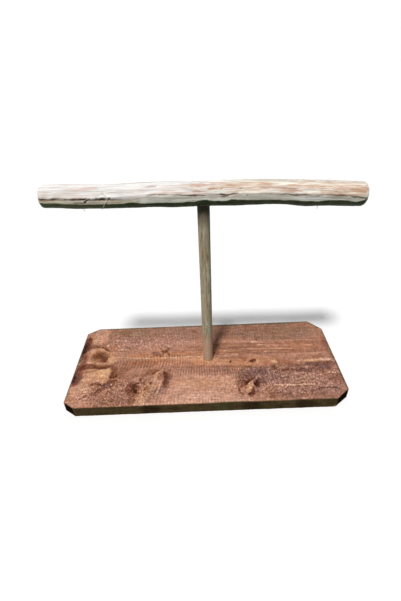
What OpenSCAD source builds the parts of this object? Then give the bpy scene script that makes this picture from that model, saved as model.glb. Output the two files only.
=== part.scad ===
// Tabletop T-stand for a small bird: a branch on a dowel on a rough-sawn board.
// Millimetres, +Z up. The origin is the middle of the board's underside.
// +X runs along the board and the perch, and +Y runs to the back.

/* [Base board] */
// Length of the board, along the perch
base_l = 330; // [260:1:420]
// Width of the board, front to back
base_w = 140; // [110:1:200]
// Thickness of the board
base_t = 14; // [12:0.5:25]
// Front left corner cut, along the length
front_left_cut_l = 13; // [4:0.5:30]
// Front left corner cut, along the width
front_left_cut_w = 9; // [4:0.5:30]
// Front right corner cut, along the length
front_right_cut_l = 17; // [4:0.5:30]
// Front right corner cut, along the width
front_right_cut_w = 13.5; // [4:0.5:30]
// Back right corner cut, along the length
back_right_cut_l = 16; // [4:0.5:30]
// Back right corner cut, along the width
back_right_cut_w = 18; // [4:0.5:30]
// Back left corner cut, along the length
back_left_cut_l = 15; // [4:0.5:30]
// Back left corner cut, along the width
back_left_cut_w = 10; // [4:0.5:30]

/* [Post] */
// Diameter of the dowel
post_d = 12.7; // [10:0.1:14]
// Height of the dowel that shows between the board and the perch
post_show = 203.2; // [120:0.1:260]
// Depth of the dowel in the board
post_in_base = 7; // [4:0.5:8]
// Depth of the dowel in the perch
post_in_perch = 14; // [8:0.5:16]
// Bevel round each end of the dowel
post_bevel = 0.6; // [0.2:0.1:1.5]
// Distance of the post to the right of the board's middle
post_x = 4; // [-20:0.5:20]
// Distance of the post behind the board's middle
post_y = 3; // [-20:0.5:20]
// Gap round the dowel in each socket, which glue fills
glue_gap = 0.1; // [0.05:0.05:0.3]

/* [Perch] */
// Length of the branch between its two saw cuts
perch_l = 311; // [220:1:420]
// Diameter of the branch over the post
perch_d = 24.6; // [20:0.2:34]
// Distance of the branch's middle to the right of the post
perch_shift = 1; // [-20:1:20]
// Fall of the branch towards its right end, in degrees
perch_fall = 1.4; // [-4:0.1:4]
// Rounding of the saw cut at the left end
left_end_round = 3.5; // [1:0.5:6]
// Rounding of the saw cut at the right end
right_end_round = 5; // [1:0.5:6]

/* [Base screw] */
// Length of the screw, from the head's flat face to the point
screw_l = 32; // [25:1:40]
// Diameter over the thread
thread_d = 4.2; // [3.6:0.1:5]
// Diameter of the core between the threads
core_d = 2.8; // [2.2:0.1:3]
// Rise of the thread in one turn
thread_pitch = 2.8; // [2:0.1:3.5]
// Diameter of the smooth shank
shank_d = 3.2; // [3:0.1:3.6]
// Length from the head's flat face to the first thread
shank_l = 9; // [7:0.5:12]
// Length of the tapered point
point_l = 5; // [3:0.5:7]
// Diameter of the countersunk head
head_d = 8; // [7:0.1:9]
// Height of the straight rim of the head
head_rim = 0.4; // [0.2:0.1:0.8]
// Depth of the head's flat face inside the board
head_sunk = 0.5; // [0.2:0.1:1.5]
// Span of the cross recess
recess_span = 4.4; // [3:0.1:5]
// Width of each slot of the cross recess
recess_slot = 1.1; // [0.8:0.1:1.4]
// Depth of the cross recess
recess_depth = 2; // [1:0.1:2.4]
// Gap round the screw in its holes
screw_gap = 0.15; // [0.05:0.05:0.3]
// Depth of the pilot hole past the screw's point
pilot_spare = 2; // [1:0.5:5]

/* [Hidden] */

// Faces of a full circle on the turned and drilled surfaces
round_fn = 96;
// Length by which a cutting tool passes the face that it opens
cut_through = 1;

// Heights of the joints, from the table upwards
base_socket_z = base_t - post_in_base;
perch_under_z = base_t + post_show;
post_top_z = perch_under_z + post_in_perch;
perch_axis_z = perch_under_z + perch_d / 2;

// Heights along the screw, which points upwards
head_cone_z = head_sunk + head_rim;
head_cone_h = (head_d - shank_d) / 2;
thread_start_z = head_sunk + shank_l;
screw_tip_z = head_sunk + screw_l;
pilot_end_z = screw_tip_z + pilot_spare;
pilot_d = thread_d + 2 * screw_gap;
countersink_d = head_d + 2 * screw_gap;
countersink_h = (countersink_d - pilot_d) / 2;

// The branch is measured at equal steps from its left end to its right end,
// each time as a share of its thickness over the post
// Thickness at each step
girth_shares = [
    0.91, 0.92, 0.955, 0.95, 0.945, 0.96, 0.98, 0.99, 1.03, 1.015, 1,
    1.01, 1.02, 1.005, 0.985, 0.985, 1.05, 1.03, 1.015, 1.015, 1.01
];
// Height of the pith at each step, against a straight line through the post
rise_shares = [
    -0.06, -0.05, -0.065, -0.07, -0.07, -0.045, -0.025, 0, -0.01, -0.005, 0,
    0.005, 0.01, 0.025, 0.03, 0.015, -0.03, -0.05, -0.07, -0.11, -0.14
];
// Sideways bend of the pith at each step, towards the back
drift_shares = [
    0.09, 0.065, 0.04, 0.025, 0.01, -0.01, -0.02, -0.025, -0.02, -0.01, 0,
    0.005, 0, -0.01, -0.02, -0.03, -0.035, -0.025, 0, 0.035, 0.07
];
// Rings along the branch, and points round each ring
perch_rings = 50;
perch_sides = 28;
// Rings in each rounded end
end_rings = 4;
// Share of the radius by which the branch is out of round
oval_share = 0.012;
lobe_share = 0.009;
// Turn of the oval and the lobes from the left end to the right end, in degrees
oval_turn = 70;
lobe_turn = -110;

// Points round the thread, and rings in each turn of it
thread_sides = 18;
thread_rings = 9;
// Shares of the pitch: half of the crest's flat, and half of the thread's foot
crest_half = 0.08;
foot_half = 0.24;
// Length by which the thread's core runs back into the shank
core_overlap = 0.5;
// Share of the pitch over which the thread grows at its start
thread_run_in = 0.8;
// Share of the thread's length at which the sharp point is left blunt
point_end = 0.995;

// Value on a smooth curve through a list, at share t of its length
function curve(list, t) =
    let (
        last = len(list) - 1,
        place = min(max(t, 0), 1) * last,
        i = min(floor(place), last - 1),
        f = place - i,
        a = list[max(i - 1, 0)],
        b = list[i],
        c = list[i + 1],
        d = list[min(i + 2, last)]
    )
    b + f * (c - a + f * (2 * a - 5 * b + 4 * c - d + f * (3 * (b - c) + d - a))) / 2;

// Setback of the surface, and distance from the saw cut, where an edge is rounded by r
function end_steps(r) = [
    for (i = [0 : end_rings - 1])
        let (a = 90 * i / end_rings)
        [r * (1 - sin(a)), r * (1 - cos(a))]
];

// Faces of a closed sweep: rings of n points, then one flat cap at each end
function sweep_faces(rings, n) = concat(
    [[for (j = [0 : n - 1]) j]],
    [
        for (i = [0 : rings - 2], j = [0 : n - 1], half = [0, 1])
            let (k = (j + 1) % n)
            half == 0
                ? [i * n + j, (i + 1) * n + j, (i + 1) * n + k]
                : [i * n + j, (i + 1) * n + k, i * n + k]
    ],
    [[for (j = [n - 1 : -1 : 0]) (rings - 1) * n + j]]
);

// Places of the branch's rings: distance from the left end and edge setback
left_steps = [for (s = end_steps(left_end_round)) [s[1], s[0]]];
right_steps = [
    for (i = [end_rings - 1 : -1 : 0])
        let (s = end_steps(right_end_round)[i])
        [perch_l - s[1], s[0]]
];
middle_l = perch_l - left_end_round - right_end_round;
middle_steps = [
    for (i = [0 : perch_rings])
        [left_end_round + middle_l * i / perch_rings, 0]
];
perch_steps = concat(left_steps, middle_steps, right_steps);

// Rise and drift that the smooth curves give over the post, where the pith meets its axis
post_share = 0.5 - perch_shift / perch_l;
post_rise = curve(rise_shares, post_share);
post_drift = curve(drift_shares, post_share);

function out_of_round(share, angle) =
    1 + oval_share * cos(2 * angle + oval_turn * share)
    + lobe_share * cos(3 * angle + lobe_turn * share);

function perch_ring(step) =
    let (
        share = step[0] / perch_l,
        r = curve(girth_shares, share) * perch_d / 2,
        x = perch_shift - perch_l / 2 + step[0],
        y = (curve(drift_shares, share) - post_drift) * perch_d,
        z = (curve(rise_shares, share) - post_rise) * perch_d
    )
    [
        for (j = [0 : perch_sides - 1])
            let (
                angle = 360 * j / perch_sides,
                q = r * out_of_round(share, angle) - step[1]
            )
            [x, y + q * cos(angle), z + q * sin(angle)]
    ];

// Share of the full thread height at a place across the pitch
function thread_profile(place) =
    let (away = abs(place - floor(place) - 0.5))
    min(max((foot_half - away) / (foot_half - crest_half), 0), 1);

// Share of the full size left at a height on the tapered point
function point_taper(z) = min((screw_tip_z - z) / point_l, 1);

function thread_ring(z) =
    let (
        grown = min(max((z - thread_start_z) / (thread_run_in * thread_pitch), 0), 1),
        taper = point_taper(z),
        height = grown * taper * (thread_d - core_d) / 2
    )
    [
        for (j = [0 : thread_sides - 1])
            let (
                angle = 360 * j / thread_sides,
                place = (z - thread_start_z) / thread_pitch - j / thread_sides,
                r = taper * core_d / 2 + height * thread_profile(place)
            )
            [r * cos(angle), r * sin(angle), z]
    ];

module base_outline() {
    polygon([
        [-base_l / 2 + front_left_cut_l, -base_w / 2],
        [base_l / 2 - front_right_cut_l, -base_w / 2],
        [base_l / 2, -base_w / 2 + front_right_cut_w],
        [base_l / 2, base_w / 2 - back_right_cut_w],
        [base_l / 2 - back_right_cut_l, base_w / 2],
        [-base_l / 2 + back_left_cut_l, base_w / 2],
        [-base_l / 2, base_w / 2 - back_left_cut_w],
        [-base_l / 2, -base_w / 2 + front_left_cut_w]
    ]);
}

// Board with a blind socket for the dowel above and a countersunk hole below
module base_board() {
    color("#9c6450")
        difference() {
            linear_extrude(base_t) base_outline();
            translate([post_x, post_y, base_socket_z])
                cylinder(d = post_d + 2 * glue_gap, h = post_in_base + cut_through, $fn = round_fn);
            translate([post_x, post_y, -cut_through])
                cylinder(d = pilot_d, h = base_t + cut_through, $fn = round_fn);
            translate([post_x, post_y, -cut_through])
                cylinder(d = countersink_d, h = head_cone_z + cut_through, $fn = round_fn);
            translate([post_x, post_y, head_cone_z])
                cylinder(d1 = countersink_d, d2 = pilot_d, h = countersink_h, $fn = round_fn);
        }
}

// Dowel with bevelled ends and a pilot hole up its lower end
module post() {
    straight_l = post_top_z - base_socket_z - 2 * post_bevel;
    color("#968a72")
        translate([post_x, post_y, base_socket_z])
            difference() {
                union() {
                    cylinder(d1 = post_d - 2 * post_bevel, d2 = post_d, h = post_bevel, $fn = round_fn);
                    translate([0, 0, post_bevel])
                        cylinder(d = post_d, h = straight_l, $fn = round_fn);
                    translate([0, 0, post_bevel + straight_l])
                        cylinder(d1 = post_d, d2 = post_d - 2 * post_bevel, h = post_bevel, $fn = round_fn);
                }
                translate([0, 0, -cut_through])
                    cylinder(d = pilot_d, h = pilot_end_z - base_socket_z + cut_through, $fn = round_fn);
            }
}

// Peeled branch, sawn square at both ends and drilled from below for the dowel
module perch() {
    points = [for (step = perch_steps) each perch_ring(step)];
    color("#ead9c6")
        difference() {
            translate([post_x, post_y, perch_axis_z])
                rotate([0, perch_fall, 0])
                    polyhedron(points, sweep_faces(len(perch_steps), perch_sides));
            translate([post_x, post_y, perch_under_z - perch_d / 2])
                cylinder(
                    d = post_d + 2 * glue_gap,
                    h = post_top_z - perch_under_z + perch_d / 2,
                    $fn = round_fn
                );
        }
}

// Wood screw that draws the dowel down into the board's socket
module base_screw() {
    thread_l = screw_tip_z - thread_start_z;
    ring_count = floor((thread_l + core_overlap) * thread_rings / thread_pitch);
    ring_heights = [
        for (i = [0 : ring_count])
            thread_start_z - core_overlap + (thread_l + core_overlap) * min(i / ring_count, point_end)
    ];
    points = [for (z = ring_heights) each thread_ring(z)];
    color("silver")
        translate([post_x, post_y, 0])
            difference() {
                union() {
                    translate([0, 0, head_sunk])
                        cylinder(d = head_d, h = head_rim, $fn = round_fn);
                    translate([0, 0, head_cone_z])
                        cylinder(d1 = head_d, d2 = shank_d, h = head_cone_h, $fn = round_fn);
                    translate([0, 0, head_cone_z])
                        cylinder(d = shank_d, h = thread_start_z - head_cone_z, $fn = round_fn);
                    polyhedron(points, sweep_faces(len(ring_heights), thread_sides));
                }
                for (turn = [0, 90])
                    rotate([0, 0, turn])
                        translate([-recess_span / 2, -recess_slot / 2, head_sunk - cut_through])
                            cube([recess_span, recess_slot, recess_depth + cut_through]);
            }
}

base_board();
post();
perch();
base_screw();
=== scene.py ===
import math
import bpy
import numpy as np
from mathutils import Matrix, Vector
from mathutils.bvhtree import BVHTree


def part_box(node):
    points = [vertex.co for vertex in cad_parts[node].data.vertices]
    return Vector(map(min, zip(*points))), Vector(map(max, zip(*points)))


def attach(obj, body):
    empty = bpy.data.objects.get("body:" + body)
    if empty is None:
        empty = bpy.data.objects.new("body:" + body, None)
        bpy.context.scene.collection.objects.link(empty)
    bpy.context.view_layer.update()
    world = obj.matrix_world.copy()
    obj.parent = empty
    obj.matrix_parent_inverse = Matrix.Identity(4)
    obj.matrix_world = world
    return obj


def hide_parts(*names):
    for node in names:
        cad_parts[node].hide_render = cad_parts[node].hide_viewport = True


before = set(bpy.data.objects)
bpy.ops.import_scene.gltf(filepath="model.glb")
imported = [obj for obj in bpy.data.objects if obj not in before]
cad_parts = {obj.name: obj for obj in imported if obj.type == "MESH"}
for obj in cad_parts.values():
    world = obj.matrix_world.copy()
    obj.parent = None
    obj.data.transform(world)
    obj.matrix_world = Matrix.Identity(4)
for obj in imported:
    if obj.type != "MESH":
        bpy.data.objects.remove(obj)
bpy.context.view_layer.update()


# The floor that the stand rests on, with soft daylight from high in front on the left and the camera that
# looks down on it. The floor and the sky show white to the camera, and the floor gives back less light than
# it shows, as a lawn or a dull table does, so that the underside of the perch stays dark.
SUN_STRENGTH = 2.8
SUN_HEIGHT = 66
SUN_TO_LEFT = 21
SUN_SPREAD = 8
SKY_STRENGTH = 0.2
WHITE = (1, 1, 1, 1)
FLOOR_TONE = (0.88, 0.88, 0.88, 1)
FLOOR_GLOW = 0.14
FLOOR_BOUNCE = 0.4
BOUNCE_TONE = (1, 0.98, 0.94, 1)
FLOOR_HALF = 6.0
FLOOR_DROP = 0.0004
CAMERA_PLACE = (-0.000797, -0.337289, 0.344539)
CAMERA_DOWN = 35.16
CAMERA_TURN = 0.315
CAMERA_TILT = -2.428
SENSOR_SIZE = 36
FOCAL_PIXELS = 362.7
PICTURE_HEIGHT = 601


def add(tree, kind, inputs=None, **settings):
    """Adds a node to a tree. Each input takes a plain value or another node's output."""
    node = tree.nodes.new(kind)
    for name, value in settings.items():
        setattr(node, name, value)
    for key, value in (inputs or {}).items():
        if isinstance(value, bpy.types.NodeSocket):
            tree.links.new(value, node.inputs[key])
        else:
            node.inputs[key].default_value = value
    return node


def result(tree, kind, inputs=None, **settings):
    """The same, and gives the node's first output."""
    return add(tree, kind, inputs, **settings).outputs[0]


def maths(tree, operation, *values):
    """One sum on one or two numbers, and its result."""
    return result(tree, "ShaderNodeMath", dict(enumerate(values)), operation=operation)


def times(tree, first, second):
    """Two numbers multiplied."""
    return maths(tree, "MULTIPLY", first, second)


def new_material(name):
    """An empty node material."""
    material = bpy.data.materials.new(name)
    material.use_nodes = True
    material.node_tree.nodes.clear()
    return material


scene = bpy.context.scene
scene.view_settings.view_transform = "Standard"

world = bpy.data.worlds.new("daylight")
scene.world = world
world.use_nodes = True
tree = world.node_tree
tree.nodes.clear()
ray = add(tree, "ShaderNodeLightPath").outputs
shown = maths(tree, "MAXIMUM", ray["Is Camera Ray"], ray["Is Glossy Ray"])
shown = maths(tree, "MAXIMUM", shown, ray["Is Transmission Ray"])
dim = result(tree, "ShaderNodeBackground", {"Color": WHITE, "Strength": SKY_STRENGTH})
white = result(tree, "ShaderNodeBackground", {"Color": WHITE, "Strength": 1.0})
sky = result(tree, "ShaderNodeMixShader", {0: shown, 1: dim, 2: white})
add(tree, "ShaderNodeOutputWorld", {0: sky})

sun_data = bpy.data.lights.new("daylight_sun", "SUN")
sun_data.energy = SUN_STRENGTH
sun_data.angle = math.radians(SUN_SPREAD)
sun = bpy.data.objects.new("daylight_sun", sun_data)
scene.collection.objects.link(sun)
sun_flat = math.cos(math.radians(SUN_HEIGHT))
towards_sun = Vector((
    -math.sin(math.radians(SUN_TO_LEFT)) * sun_flat,
    -math.cos(math.radians(SUN_TO_LEFT)) * sun_flat,
    math.sin(math.radians(SUN_HEIGHT)),
))
sun.rotation_mode = "QUATERNION"
sun.rotation_quaternion = towards_sun.to_track_quat("Z", "Y")

floor_corners = []
for side_x, side_y in ((-1, -1), (1, -1), (1, 1), (-1, 1)):
    floor_corners.append((side_x * FLOOR_HALF, side_y * FLOOR_HALF, -FLOOR_DROP))
floor_mesh = bpy.data.meshes.new("floor")
floor_mesh.from_pydata(floor_corners, [], [(0, 1, 2, 3)])
floor = bpy.data.objects.new("floor", floor_mesh)
scene.collection.objects.link(floor)
floor_paint = new_material("pale_floor")
tree = floor_paint.node_tree
ray = add(tree, "ShaderNodeLightPath").outputs
lit = result(tree, "ShaderNodeBsdfDiffuse", {"Color": FLOOR_TONE})
glow = result(tree, "ShaderNodeEmission", {"Color": WHITE, "Strength": FLOOR_GLOW})
shown = result(tree, "ShaderNodeAddShader", {0: lit, 1: glow})
bounce = result(tree, "ShaderNodeEmission", {"Color": BOUNCE_TONE, "Strength": FLOOR_BOUNCE})
either = result(tree, "ShaderNodeMixShader", {0: ray["Is Diffuse Ray"], 1: shown, 2: bounce})
clear = result(tree, "ShaderNodeBsdfTransparent")
from_below = add(tree, "ShaderNodeNewGeometry").outputs["Backfacing"]
behind = times(tree, ray["Is Camera Ray"], from_below)
whole = result(tree, "ShaderNodeMixShader", {0: behind, 1: either, 2: clear})
add(tree, "ShaderNodeOutputMaterial", {0: whole})
floor_mesh.materials.append(floor_paint)

camera_data = bpy.data.cameras.new("camera")
camera_data.sensor_width = SENSOR_SIZE
camera_data.lens = FOCAL_PIXELS / PICTURE_HEIGHT * SENSOR_SIZE
camera_data.clip_start = 0.01
camera_data.clip_end = 100
camera = bpy.data.objects.new("camera", camera_data)
scene.collection.objects.link(camera)
camera.matrix_world = (
    Matrix.Translation(CAMERA_PLACE)
    @ Matrix.Rotation(math.radians(CAMERA_TURN), 4, "Z")
    @ Matrix.Rotation(math.radians(90 - CAMERA_DOWN), 4, "X")
    @ Matrix.Rotation(math.radians(CAMERA_TILT), 4, "Z")
)
scene.camera = camera


# The base board: a length of rough-sawn softwood fence board with a thin red-brown stain. Its four corners
# are sawn off by hand. The saw has left ribs across the grain, and the knots stand up or have lost wood
# beside them. The dowel's socket is drilled from above and the screw's countersunk hole from below.
MM = 0.001

# The board's sizes in millimetres. Each corner cut has its reach along the board and its reach across it.
HALF_LENGTH = 165
HALF_WIDTH = 70
BOARD_TOP = 14
FRONT_LEFT_CUT = (13, 9)
BACK_LEFT_CUT = (15, 10)
FRONT_RIGHT_CUT = (17, 13.5)
BACK_RIGHT_CUT = (16, 18)
FOOT = (4.0, 3.0)
SOCKET_RADIUS = 6.45
SOCKET_FLOOR = 7.0
SCREW_HOLE = ((4.15, -2), (4.15, 0.9), (2.25, 2.8), (2.25, 8))

# How finely the board is divided: its columns, the stops between its rows and the rows between two stops, and
# the rings down its sides as (inset, height) pairs. Its top edge is worn round.
BOARD_COLUMNS = 500
ROW_STOPS = (-70, -61, -56.5, 52, 60, 70)
ROW_COUNTS = (9, 5, 90, 7, 9)
SIDE_RINGS = (
    (0.14, 13.8), (0.02, 13.35), (0, 12.2), (0, 10.6), (0, 9.0), (0, 7.4),
    (0, 5.8), (0, 4.2), (0, 2.6), (0, 1.1), (0, 0.35), (0.05, 0.1), (0.2, 0),
)
TOP_SINK = 0.15
ARRIS = 0.45
ARRIS_DROP = 0.12

# The saw ribs' pitch at places along the board, the pith that the growth rings go round, and their pitch.
RIB_PITCHES = [(-170, 3.9), (-60, 3.9), (-45, 3.5), (-25, 3.1), (40, 2.95), (60, 2.9), (110, 3.3), (170, 3.4)]
PITH = (22.0, -58.0)
RING_PITCH = 3.1

# The board's colours as they look on a screen. Those from weathered on are for its sides and underside.
STAINS = {
    "rose": (176, 126, 103),
    "pink": (214, 162, 138),
    "blush": (228, 182, 156),
    "cream": (236, 192, 150),
    "tan": (212, 160, 124),
    "straw": (222, 180, 138),
    "orange": (198, 134, 98),
    "rust": (146, 80, 44),
    "brown": (122, 74, 50),
    "chestnut": (108, 60, 38),
    "umber": (70, 32, 16),
    "maroon": (112, 58, 46),
    "plum": (110, 76, 70),
    "mauve": (148, 112, 104),
    "grey": (138, 108, 90),
    "olive": (150, 122, 88),
    "moss": (104, 98, 78),
    "ink": (38, 28, 26),
    "weathered": (82, 69, 45),
    "sooty": (34, 25, 17),
    "earth": (92, 72, 48),
    "tar": (30, 20, 14),
    "green": (76, 84, 50),
    "end grain": (132, 92, 68),
    "black": (16, 13, 10),
    "torn wood": (206, 180, 140),
    "thin stain": (186, 142, 112),
}

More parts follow.
